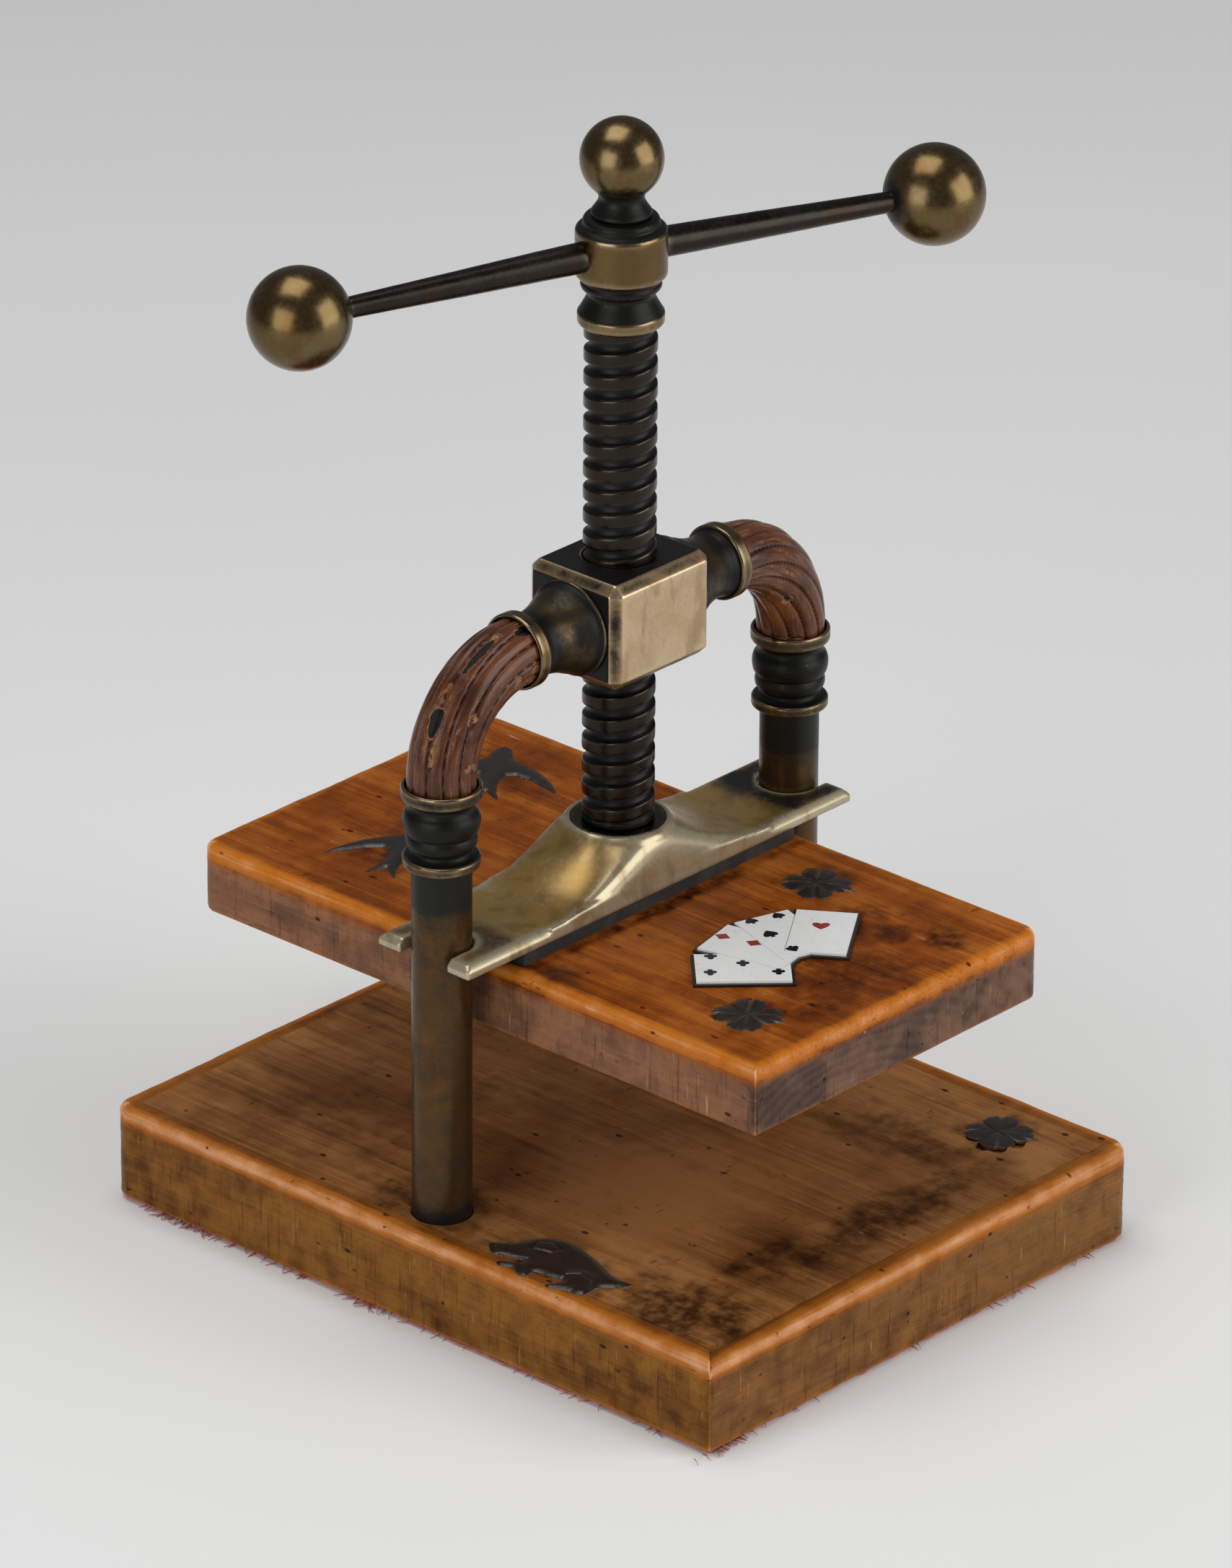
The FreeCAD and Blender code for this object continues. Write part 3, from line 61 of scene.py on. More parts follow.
BASE_TOP = 27.6
BOARD_TOP = 99.1
CARD_TOP = 100.5
EIGHTH = 0.125
CREASE = 38.0
WELD_GAP = 1e-6
MELT_PASSES = 60
RIDGE_PASSES = 24
RIDGE_SCALE = 0.40
SENSOR_MM = 36.0
FLOOR_HALF = 6.0


class Axis(Enum):
    """Way in which a wood's grain runs."""

    X = 0
    Y = 1


class Suit(Enum):
    """Suit of a small enamel card."""

    CLUBS = "clubs"
    DIAMONDS = "diamonds"
    SPADES = "spades"
    HEART = "heart"


# Shader maths


class Signal:
    """A shader socket that takes part in Python expressions."""

    def __init__(self, recipe: "Recipe", socket: bpy.types.NodeSocket) -> None:
        """Keep the socket and the material that it belongs to."""
        self.recipe = recipe
        self.socket = socket

    def math(self, operation: str, *values: "Level") -> "Signal":
        """Add a Math node that starts with this signal.

        Args:
            operation: the Math node's operation.
            values: its further inputs.

        Returns:
            The node's result.
        """
        return self.recipe.node("ShaderNodeMath", {"operation": operation}, self, *values)

    def __add__(self, other: "Level") -> "Signal":
        """Sum."""
        return self.math("ADD", other)

    def __radd__(self, other: "Level") -> "Signal":
        """Sum, number first."""
        return self.math("ADD", other)

    def __mul__(self, other: "Level") -> "Signal":
        """Product."""
        return self.math("MULTIPLY", other)

    def __rmul__(self, other: "Level") -> "Signal":
        """Product, number first."""
        return self.math("MULTIPLY", other)

    def __sub__(self, other: "Level") -> "Signal":
        """Difference."""
        return self.math("SUBTRACT", other)

    def __rsub__(self, other: Number) -> "Signal":
        """Difference, number first."""
        return self.recipe.node("ShaderNodeMath", {"operation": "SUBTRACT"}, other, self)

    def __truediv__(self, other: "Level") -> "Signal":
        """Quotient."""
        return self.math("DIVIDE", other)

    def power(self, exponent: float) -> "Signal":
        """Raised to an exponent."""
        return self.math("POWER", exponent)

    def clamped(self) -> "Signal":
        """Kept between 0 and 1."""
        return self.math("MAXIMUM", 0.0).math("MINIMUM", 1.0)

    def step(self, low: float, high: float) -> "Signal":
        """Smooth rise from 0 at low to 1 at high, or a fall where high is below low.

        Args:
            low: signal at which the result is 0.
            high: signal at which the result is 1.

        Returns:
            The eased result.
        """
        start, end = (low, high) if low < high else (high, low)
        eased = self.recipe.node("ShaderNodeMapRange", {"interpolation_type": "SMOOTHSTEP"},
                                 self, start, end, 0.0, 1.0)
        return eased if low < high else 1.0 - eased


Level = Union[Signal, float, int]
Colour = tuple[float, float, float]


class Recipe:
    """One procedural material on a Principled shader."""

    def __init__(self, name: str) -> None:
        """Make the material with its shader and object coordinates in millimetres."""
        self.material = bpy.data.materials.new(name)
        self.material.use_nodes = True
        self.nodes = self.material.node_tree.nodes
        self.links = self.material.node_tree.links
        self.shader = self.nodes["Principled BSDF"]
        self.place = self.scaled((1 / MM,) * 3)

    def node(self, kind: str, settings: dict, *values: object, pick: int = 0) -> Signal:
        """Add one node.

        Args:
            kind: the node's type.
            settings: its properties, set first; stops are a ramp's.
            values: numbers, colours or signals for its inputs, None leaves one alone.
            pick: which of its outputs is wanted.

        Returns:
            The wanted output.
        """
        node = self.nodes.new(kind)
        for key, setting in settings.items():
            if key == "stops":
                self.set_stops(node.color_ramp, setting)
            else:
                setattr(node, key, setting)
        usable = [socket for socket in node.inputs if socket.enabled]
        for socket, value in zip(usable, values):
            if isinstance(value, Signal):
                self.links.new(value.socket, socket)
            elif value is not None:
                socket.default_value = value
        outputs = [socket for socket in node.outputs if socket.enabled]
        return Signal(self, outputs[pick])

    @staticmethod
    def set_stops(ramp: bpy.types.ColorRamp, stops: Sequence[tuple[float, Colour]]) -> None:
        """Give a ramp its stops, from left to right."""
        while len(ramp.elements) < len(stops):
            ramp.elements.new(0.5)
        for element, (spot, colour) in zip(ramp.elements, stops):
            element.position = spot
            element.color = (*colour, 1.0)

    def scaled(self, scale: Sequence[float], turn: Sequence[float] = (0, 0, 0)) -> Signal:
        """Object coordinates, turned and scaled by a Mapping node."""
        coordinates = self.node("ShaderNodeTexCoord", {}, pick=3)
        return self.node("ShaderNodeMapping", {}, coordinates, (0, 0, 0), turn, tuple(scale))

    def parts(self, vector: Signal) -> tuple[Signal, Signal, Signal]:
        """The three parts of a vector."""
        split = self.node("ShaderNodeSeparateXYZ", {}, vector)
        outputs = split.socket.node.outputs
        return Signal(self, outputs[0]), Signal(self, outputs[1]), Signal(self, outputs[2])

    def noise(self, scale: float, detail: float = 3.0, where: Optional[Signal] = None,
              rough: float = 0.55, twist: float = 0.0) -> Signal:
        """Noise from 0 to 1, with scale in features per millimetre."""
        return self.node("ShaderNodeTexNoise", {}, where or self.place, scale, detail, rough,
                         2.0, twist)

    def cells(self, scale: float, where: Optional[Signal] = None,
              feature: str = "F1") -> Signal:
        """Voronoi distance, with scale in cells per millimetre."""
        return self.node("ShaderNodeTexVoronoi", {"feature": feature}, where or self.place,
                         scale)

    def trait(self, name: str) -> Signal:
        """A number that the mesh carries at each vertex."""
        return self.node("ShaderNodeAttribute", {"attribute_name": name}, pick=2)

    def flow(self, name: str) -> Signal:
        """A vector that the mesh carries at each vertex."""
        return self.node("ShaderNodeAttribute", {"attribute_name": name}, pick=1)

    def blend(self, share: Level, first: object, second: object) -> Signal:
        """Colour between two colours or signals."""
        settings = {"data_type": "RGBA"}
        return self.node("ShaderNodeMix", settings, share, opaque(first), opaque(second))

    def multiply(self, share: Level, first: object, second: object) -> Signal:
        """Colour multiplied by another, by a share."""
        settings = {"data_type": "RGBA", "blend_type": "MULTIPLY"}
        return self.node("ShaderNodeMix", settings, share, opaque(first), opaque(second))

    def ramp(self, level: Level, stops: Sequence[tuple[float, Colour]]) -> Signal:
        """Colour ramp."""
        return self.node("ShaderNodeValToRGB", {"stops": stops}, level)

    def near(self, x: float, y: float, reach: float, stretch: tuple[float, float] = (1, 1),
             rag: Optional[Signal] = None) -> Signal:
        """Soft round patch on a board: 1 at the point and 0 at its reach.

        Args:
            x: place along X.
            y: place along Y.
            reach: radius of the patch.
            stretch: how much longer it is along X and Y.
            rag: noise that frays its edge.

        Returns:
            The patch's mask.
        """
        across, along, _ = self.parts(self.place)
        far_x = (across - x) / (reach * stretch[0])
        far_y = (along - y) / (reach * stretch[1])
        far = (far_x * far_x + far_y * far_y).math("SQRT")
        if rag is not None:
            far = far + (rag - 0.5) * 1.3
        return far.step(1.0, 0.25)

    def finish(self, **sockets: object) -> bpy.types.Material:
        """Set the shader's sockets by name and return the material."""
        names = {"colour": "Base Color", "rough": "Roughness", "metal": "Metallic",
                 "coat": "Coat Weight", "coat_rough": "Coat Roughness", "sheen": "Sheen Weight",
                 "sheen_rough": "Sheen Roughness", "ior": "IOR", "normal": "Normal",
                 "specular": "Specular IOR Level"}
        for key, value in sockets.items():
            socket = self.shader.inputs[names[key]]
            if isinstance(value, Signal):
                self.links.new(value.socket, socket)
            else:
                socket.default_value = opaque(value)
        return self.material

    def bump(self, height: Signal, depth: float, strength: float) -> Signal:
        """Bump from a height signal whose full swing is depth millimetres.

        The node's third input, its filter width, keeps its own value.
        """
        return self.node("ShaderNodeBump", {}, strength, depth * MM, None, height)


def opaque(value: object) -> object:
    """A colour with its alpha, or the value as it is."""
    if isinstance(value, tuple) and len(value) == 3:
        return (*value, 1.0)
    return value


# Finishes


@dataclass(frozen=True)
class Brass:
    """Aged brass: olive gold under a black patina that is rubbed off on ridges."""

    name: str = "aged_brass"
    bright: Colour = (0.24, 0.18, 0.10)
    body: Colour = (0.125, 0.083, 0.034)
    rust: Colour = (0.13, 0.062, 0.022)
    dark: Colour = (0.014, 0.0135, 0.012)
    rub: float = 0.0
    metal: float = 1.0
    slot: str = "aged_brass"

    def make(self) -> bpy.types.Material:
        """Build the material.

        Returns:
            Brass whose patina follows noise and the mesh's ridge and patina values.
        """
        mix = Recipe(self.name)
        ridge = mix.trait("ridge")
        cloud = mix.noise(0.075, 4.0, twist=0.8)
        fine = mix.noise(0.8, 5.0)
        grit = mix.noise(3.2, 3.0)
        # Bright where ridge values are high: rubbed wear, and the painted highlight that some
        # meshes add to their ridge values.
        worn_and_sheen = ridge * 0.95 + (cloud - 0.5) * 1.0 + (fine - 0.5) * 0.5 + (self.rub + 0.20)
        colour = mix.blend(worn_and_sheen.step(0.15, 0.95), self.body, self.bright)
        brown = mix.noise(0.14, 3.0, where=mix.scaled((1000, 1000, 420), (0.5, 0.2, 0.1)))
        colour = mix.blend(brown.step(0.50, 0.66) * 0.55, colour, self.rust)
        crust = mix.trait("patina") * 1.2 + (cloud - 0.5) * 0.75 + (fine - 0.5) * 0.35 \
            - ridge * 0.42 - self.rub * 0.5
        dark = crust.step(0.28, 0.82)
        colour = mix.blend(dark, colour, self.dark)
        speck = mix.cells(0.9).step(0.10, 0.03) * fine.step(0.50, 0.62)
        colour = mix.blend(speck * 0.8, colour, self.dark)
        nick = mix.noise(0.6, 2.0, where=mix.scaled((2400, 2400, 260), (0.4, 0.7, 0.2)))
        scratch = nick.step(0.72, 0.78)
        colour = mix.blend(scratch * 0.35, colour, self.bright)
        rough = 0.26 + dark * 0.16 + (grit - 0.5) * 0.14 + (fine - 0.5) * 0.16
        height = fine * 0.45 + grit * (dark * 0.5 + 0.12) - speck * 0.6 - scratch * 0.3
        return mix.finish(colour=colour, rough=rough.clamped(), specular=0.3,
                          metal=self.metal - dark * (0.3 * self.metal),
                          normal=mix.bump(height, 0.05, 0.5))


@dataclass(frozen=True)
class Wood:
    """Old varnished wood with long grain and stains, and rounded edges painted pale as wear and as
    a painted highlight.
    """

    name: str
    grain: Axis
    pale: Colour
    mid: Colour
    deep: Colour
    # The next two colours go on rounded edges: wear through the stain, and a painted highlight,
    # pale in the middle and orange round it.
    worn_and_sheen: Colour
    flame: Colour
    flank: tuple[Colour, Colour]
    butt: tuple[Colour, Colour] = ((0.12, 0.062, 0.04), (0.030, 0.017, 0.014))
    stains: tuple[Patch, ...] = ()
    glow: tuple[Patch, ...] = ()
    grime: float = 0.5
    gloss: float = 0.36
    coat: float = 0.10
    slot: str = "base_wood"

    def streaks(self, mix: Recipe, along: float, seed: float) -> Signal:
        """Noise drawn out along the grain by a factor."""
        scale = [1 / MM, 1 / MM, 1 / MM]
        scale[self.grain.value] = along / MM
        return mix.scaled(scale, (0, 0, 0.02 * seed))

    def make(self) -> bpy.types.Material:
        """Build the material.

        Returns:
            Wood whose grain is noise stretched along one axis, with placed stains.
        """
        mix = Recipe(self.name)
        slow = self.streaks(mix, 0.03, 1.0)
        quick = self.streaks(mix, 0.09, -1.0)
        fibre = mix.noise(1.3, 4.0, where=slow, twist=0.3)
        band = mix.noise(0.15, 4.0, where=slow, twist=0.9)
        pore = mix.noise(2.9, 3.0, where=quick)
        cloud = mix.noise(0.024, 4.0)
        fret = mix.noise(0.13, 6.0)
        flank = mix.trait("flank")
        tone = band * 0.34 + fibre * 0.24 + cloud * 0.52 + fret * 0.22 - 0.16
        colour = mix.ramp(tone, [(0.36, self.deep), (0.49, self.mid), (0.62, self.pale)])
        # Patches of the pale colour; on the base panel the large one under the pressing board is
        # painted light that lifts the board's shadow.
        for x, y, reach, wide, tall, share in self.glow:
            patch = mix.near(x, y, reach, (wide, tall), fret) * share
            colour = mix.blend(patch, colour, self.pale)
        side = mix.blend((tone + (fret - 0.5) * 0.5).step(0.25, 0.75), self.flank[1],
                         self.flank[0])
        colour = mix.blend(flank, colour, side)
        colour = self.end_grain(mix, colour, fret)
        gloom = (cloud * 0.55 + fret * 0.45).step(0.54, 0.70) * self.grime
        for x, y, reach, wide, tall, share in self.stains:
            patch = mix.near(x, y, reach, (wide, tall), fret) * share
            gloom = gloom.math("MAXIMUM", patch * (1.0 - flank))
        burn = mix.noise(0.30, 5.0).step(0.30, 0.62)
        colour = mix.multiply(gloom * (burn * 0.55 + 0.45), colour, (0.10, 0.055, 0.045))
        streak = pore.step(0.60, 0.74)
        colour = mix.multiply(streak * 0.60, colour, (0.30, 0.17, 0.12))
        # Ridge values on rounded edges and corners paint them orange, then pale: partly wear,
        # partly a painted highlight.
        ridge = mix.trait("ridge")
        edge = ridge * 1.1 + (fret - 0.5) * 0.55 + (fibre - 0.5) * 0.35
        colour = mix.blend(edge.step(0.15, 0.70) * 0.70, colour, self.flame)
        colour = mix.blend(edge.step(0.60, 1.10) * 0.85, colour, self.worn_and_sheen)
        fleck = mix.cells(0.30, where=quick).step(0.11, 0.04) * fret.step(0.54, 0.62)
        colour = mix.blend(fleck * 0.5, colour, self.worn_and_sheen)
        nick = mix.cells(0.14, where=mix.scaled((1000, 620, 1300), (0.3, 0.2, 0.7)))
        dent = (nick + (fibre - 0.5) * 0.12).step(0.13, 0.07)
        dent = dent * mix.noise(0.2, 2.0).step(0.46, 0.54)
        colour = mix.multiply(dent * 0.9, colour, (0.10, 0.05, 0.04))
        scratch = self.scratches(mix)
        colour = mix.multiply(scratch * 0.6, colour, (0.28, 0.15, 0.10))
        sawn = mix.noise(1.0, 3.0, where=mix.scaled((1000, 1000, 55), (0.0, 0.0, 0.3)))
        colour = mix.multiply(sawn.step(0.58, 0.70) * flank * 0.55, colour, (0.35, 0.24, 0.2))
        rubbed = mix.noise(0.9, 3.0, where=mix.scaled((1000, 1000, 80), (0.1, 0.04, 0.9)))
        colour = mix.blend(rubbed.step(0.66, 0.76) * flank * 0.35, colour, self.worn_and_sheen)
        rough = self.gloss + gloom * 0.15 + (fret - 0.5) * 0.24 + streak * 0.12 - ridge * 0.05
        height = fibre * 0.30 + pore * 0.20 - streak * 0.30 - scratch * 0.5 + fret * 0.20 \
            - dent * 0.9
        return mix.finish(colour=colour, rough=rough.clamped(), coat=self.coat, specular=0.07,
                          coat_rough=0.25, normal=mix.bump(height, 0.14, 0.6))

    def end_grain(self, mix: Recipe, colour: Signal, fret: Signal) -> Signal:
        """Colour of the sawn ends: growth rings round a heart below the board."""
        across, _, up = mix.parts(mix.place)
        far_x = (across + 22.0) * 0.55
        far_z = (up - 74.0) * 1.3
        far = (far_x * far_x + far_z * far_z).math("SQRT") + fret * 3.0
        ring = (far * 1.9).math("SINE") * 0.5 + 0.5
        smudge = (mix.noise(0.055, 4.0) * 0.7 + fret * 0.4).step(0.42, 0.62)
        share = (smudge * 0.75 + ring * 0.18 + (1.0 - smudge) * 0.1)
        sawn = mix.blend(share.clamped(), self.butt[0], self.butt[1])
        return mix.blend(mix.trait("butt"), colour, sawn)

    def scratches(self, mix: Recipe) -> Signal:
        """Fine crossing scratches."""
        first = mix.noise(0.30, 2.0, where=mix.scaled((500, 1900, 1500), (0.2, 0.5, 0.9)))
        second = mix.noise(0.34, 2.0, where=mix.scaled((1700, 420, 1500), (0.9, 0.1, 0.3)))
        return first.step(0.715, 0.745).math("MAXIMUM", second.step(0.725, 0.75))


@dataclass(frozen=True)
class Paint:
    """Red-brown varnish over tan wood, chipped through."""

    name: str = "chipped_paint"
    paint: Colour = (0.045, 0.014, 0.008)
    sheen: Colour = (0.150, 0.052, 0.022)
    amber: Colour = (0.26, 0.085, 0.022)
    timber: Colour = (0.34, 0.165, 0.075)
    hollow: Colour = (0.014, 0.014, 0.014)
    slot: str = "painted_wood"

    def make(self) -> bpy.types.Material:
        """Build the material from the sleeve's own chip, glow and groove values."""
        mix = Recipe(self.name)
        chip = mix.trait("chip")
        groove = mix.trait("groove")
        along = mix.flow("flow")
        fibre = mix.noise(1.1, 5.0, where=along)
        cloud = mix.noise(0.10, 4.0)
        fine = mix.noise(1.2, 4.0)
        colour = mix.blend((cloud * 0.7 + fibre * 0.6).step(0.42, 0.86), self.paint, self.sheen)
        colour = mix.blend(mix.trait("glow") * (fibre * 0.5 + 0.6), colour, self.amber)
        colour = mix.multiply(groove * 0.65, colour, (0.22, 0.13, 0.10))
        scuff = (fibre * 0.8 + fine * 0.5 - groove * 0.2).step(0.72, 0.84)
        colour = mix.blend(scuff * 0.5, colour, self.timber)
        ragged = mix.noise(0.55, 5.0)
        bare = (chip + (ragged - 0.5) * 1.3 + (fibre - 0.5) * 0.4).step(0.42, 0.54)
        timber = mix.multiply(fibre.step(0.35, 0.75), self.timber, (0.55, 0.4, 0.28))
        colour = mix.blend(bare, colour, timber)
        colour = mix.blend((chip + (ragged - 0.5) * 0.5).step(0.70, 0.80), colour, self.hollow)
        rough = 0.25 + bare * 0.45 + (fine - 0.5) * 0.25 + scuff * 0.2
        height = fibre * 0.6 + fine * 0.4 - bare * 0.6
        return mix.finish(colour=colour, rough=rough.clamped(), coat=0.15 - bare * 0.15,
                          specular=0.2, coat_rough=0.2, normal=mix.bump(height, 0.16, 0.65))


@dataclass(frozen=True)
class Coating:
    """Plain coloured finish with slight cloud and specks; ridge values turn it to its paler shade
    colour, which on the inlays is a painted highlight on rims, lines and veins.
    """

    name: str
    colour: Colour
    shade: Colour
    rough: float = 0.4
    metal: float = 0.0
    coat: float = 0.0
    grime: float = 0.3
    relief: float = 0.03
    slot: str = "dark_inlay"

    def make(self) -> bpy.types.Material:
        """Build the material."""
        mix = Recipe(self.name)
        cloud = mix.noise(0.16, 4.0)
        fine = mix.noise(1.6, 4.0)
        ridge = mix.trait("ridge")
        # Ridge values pull the colour toward the paler shade colour: on the inlays a painted
        # highlight on rims, lines and veins.
        share = (ridge * 0.9 + (cloud - 0.5) * 1.2 + (fine - 0.5) * 0.6 + self.grime)
        colour = mix.blend(share.step(0.15, 0.85), self.colour, self.shade)
        rough = self.rough + (fine - 0.5) * 0.22 + (cloud - 0.5) * 0.15
        return mix.finish(colour=colour, rough=rough.clamped(), metal=self.metal,
                          coat=self.coat, coat_rough=0.12,
                          normal=mix.bump(fine + cloud * 0.5, self.relief, 0.5))


@dataclass(frozen=True)
class Enamel:
    """White enamel with hairline crazing and yellowed patches."""

    name: str = "white_enamel"
    white: Colour = (0.90, 0.90, 0.89)
    aged: Colour = (0.62, 0.58, 0.48)
    slot: str = "enamel"

    def make(self) -> bpy.types.Material:
        """Build the material."""
        mix = Recipe(self.name)
        cloud = mix.noise(0.22, 4.0)
        crack = mix.cells(0.30, feature="DISTANCE_TO_EDGE").step(0.010, 0.0)
        colour = mix.blend(cloud.step(0.55, 0.95) * 0.5, self.white, self.aged)
        colour = mix.blend(crack * 0.35, colour, (0.3, 0.27, 0.22))
        return mix.finish(colour=colour, rough=0.12 + cloud * 0.12, coat=0.8,
                          coat_rough=0.06, normal=mix.bump(cloud, 0.03, 0.4))


@dataclass(frozen=True)
class Baize:
    """Napped red baize."""

    name: str = "red_baize"
    red: Colour = (0.42, 0.045, 0.03)
    dust: Colour = (0.62, 0.20, 0.14)
    slot: str = "baize"

    def make(self) -> bpy.types.Material:
        """Build the material."""
        mix = Recipe(self.name)
        nap = mix.noise(2.4, 4.0, twist=1.5)
        cloud = mix.noise(0.06, 3.0)
        colour = mix.blend((nap * 0.6 + cloud * 0.5).step(0.4, 0.8), self.red, self.dust)
        return mix.finish(colour=colour, rough=0.95, sheen=0.5, sheen_rough=0.6,
                          normal=mix.bump(nap, 0.5, 0.9))


class Finishes:
    """Every finish of the press, made once."""

    def __init__(self) -> None:
        """Build the materials by their names."""
        self.made: dict[str, bpy.types.Material] = {}
        self.slots: dict[str, str] = {}
        for finish in self.recipes():
            self.made[finish.name] = finish.make()
            self.slots[finish.name] = finish.slot

    @staticmethod
    def recipes() -> list:
        """The finishes with their own numbers."""
        platen_stains = (
            (-34.1, -77.4, 13.0, 1.0, 1.0, 0.90),
            (37.4, -37.6, 13.0, 1.0, 1.0, 0.85),
            (-2.0, -56.0, 25.0, 1.15, 0.75, 1.0),
            (24.0, -60.0, 13.0, 1.0, 1.0, 0.85),
            (27.0, -73.0, 8.0, 1.0, 1.1, 0.75),
            (34.5, -84.0, 9.0, 1.0, 1.1, 0.95),
            (-2.0, -82.0, 22.0, 1.4, 0.8, 0.60),
            (-20.0, -88.0, 9.0, 1.3, 0.8, 0.75),
            (28.0, 71.0, 19.0, 1.0, 1.0, 0.55),
            (-24.0, 56.0, 18.0, 1.0, 1.0, 0.75),
            (0.0, 17.0, 12.0, 4.6, 0.5, 0.80),
            (0.0, -18.0, 9.0, 6.5, 0.45, 0.95),
            (-40.0, 28.0, 4.0, 1.0, 1.0, 0.9),
            (-52.0, -20.0, 16.0, 0.6, 1.0, 0.8),
        )
        base_stains = (
            (-70.0, -43.0, 21.0, 0.7, 1.4, 0.90),
            (66.8, -77.6, 13.0, 1.0, 1.0, 0.85),
            (-66.0, 4.0, 18.0, 1.1, 1.3, 0.95),
            (-66.0, -84.0, 24.0, 0.8, 1.3, 0.92),
            (8.0, -88.0, 26.0, 2.4, 0.45, 0.80),
            (-30.0, -79.0, 12.0, 1.7, 0.5, 0.75),
            (46.0, -62.0, 20.0, 0.7, 1.6, 0.6),
            (-11.0, 42.0, 9.0, 1.6, 1.0, 0.45),
            (-50.0, 60.0, 26.0, 0.5, 1.4, 0.25),
        )
        # Painted light: the first patch lifts the panel under the pressing board out of its
        # shadow; the second is a pale patch by the front right corner.
        base_glow = (
            (-20.0, -30.0, 46.0, 0.9, 1.0, 0.8),
            (62.0, -93.0, 16.0, 1.0, 0.7, 0.7),
        )
        strip = {
            "pale": (0.36, 0.130, 0.020), "mid": (0.22, 0.070, 0.010),
            "deep": (0.10, 0.031, 0.006), "worn_and_sheen": (0.78, 0.42, 0.22),
            "flame": (0.50, 0.155, 0.016), "coat": 0.06, "grime": 0.55,
        }
        return [
            Brass(),
            Brass(name="column_brass", bright=(0.21, 0.125, 0.048), body=(0.100, 0.052, 0.015),
                  rust=(0.15, 0.055, 0.014), metal=0.7),
            Brass(name="polished_brass", bright=(0.58, 0.44, 0.28), body=(0.42, 0.285, 0.155),
                  rust=(0.32, 0.20, 0.10), rub=0.25, metal=0.85),
            Brass(name="bridge_brass", bright=(0.46, 0.395, 0.26), body=(0.36, 0.215, 0.055),
                  rust=(0.21, 0.12, 0.035), rub=0.1, metal=0.55),
            Brass(name="dark_bronze", bright=(0.10, 0.078, 0.054), body=(0.030, 0.026, 0.021),
                  rust=(0.045, 0.024, 0.015), slot="dark_bronze"),
            Wood(name="platen_wood", grain=Axis.Y, pale=(0.44, 0.132, 0.017),
                 mid=(0.255, 0.060, 0.005), deep=(0.12, 0.025, 0.003),
                 worn_and_sheen=(0.80, 0.45, 0.26), flame=(0.62, 0.19, 0.015),
                 flank=((0.32, 0.145, 0.070), (0.125, 0.057, 0.034)),
                 butt=((0.21, 0.108, 0.066), (0.055, 0.032, 0.026)),
                 stains=platen_stains, gloss=0.34, coat=0.06, slot="platen_wood"),
            Wood(name="panel_wood", grain=Axis.Y, pale=(0.40, 0.185, 0.060),
                 mid=(0.25, 0.102, 0.028), deep=(0.105, 0.038, 0.009), worn_and_sheen=(0.60, 0.34, 0.17),
                 flame=(0.34, 0.12, 0.02), flank=((0.2, 0.09, 0.03), (0.1, 0.04, 0.015)),
                 stains=base_stains, glow=base_glow, gloss=0.42, coat=0.03),
            Wood(name="side_strip_wood", grain=Axis.Y,
                 flank=((0.29, 0.120, 0.018), (0.085, 0.026, 0.003)), **strip),
            Wood(name="end_strip_wood", grain=Axis.X,
                 flank=((0.27, 0.118, 0.030), (0.11, 0.042, 0.010)), **strip),
            Paint(),
            # Its paler shade colour is painted on inlay rims and lines as a highlight.
            Coating(name="dark_inlay", colour=(0.016, 0.010, 0.007), shade=(0.13, 0.072, 0.040),
                    rough=0.30, coat=0.12, grime=0.0, relief=0.12),
            Coating(name="dark_shim", colour=(0.012, 0.010, 0.009), shade=(0.05, 0.04, 0.03),
                    rough=0.7, slot="dark_shim"),
            Coating(name="dark_steel", colour=(0.12, 0.115, 0.11), shade=(0.30, 0.28, 0.26),
                    rough=0.4, metal=1.0, slot="dark_steel"),
            Coating(name="black_pip", colour=(0.012, 0.012, 0.013), shade=(0.05, 0.05, 0.05),
                    rough=0.2, coat=0.6, grime=0.0, relief=0.01, slot="enamel"),
            Coating(name="red_pip", colour=(0.28, 0.035, 0.018), shade=(0.42, 0.09, 0.05),
                    rough=0.2, coat=0.6, grime=0.0, relief=0.01, slot="enamel"),
            Enamel(),
            Baize(),
        ]

    def dress(self, thing: bpy.types.Object, finish: str) -> None:
        """Put one finish on a new piece or on a CAD node."""
        thing.data.materials.clear()
        thing.data.materials.append(self.made[finish])


# Surfaces


def bell(far: Array, width: float = 1.0) -> Array:
    """Bell curve: 1 at no distance and 0.37 at the width."""
    return np.exp(-(far / width) ** 2)


def circle(count: int) -> Array:
    """Angles all the way round, the last one a step before the first."""
    return np.linspace(0, math.tau, count, endpoint=False)


def unit(ways: Array) -> Array:
    """Vectors brought to a length of 1."""
    return ways / np.linalg.norm(ways, axis=-1, keepdims=True)


def side_run(count: int) -> Array:
    """Places from 0 to 1 along one side of a board, closer together on its corners."""
    return np.concatenate([np.linspace(0.0, EIGHTH, 9),
                           np.linspace(EIGHTH, 1 - EIGHTH, count)[1:-1],
                           np.linspace(1 - EIGHTH, 1.0, 9)])


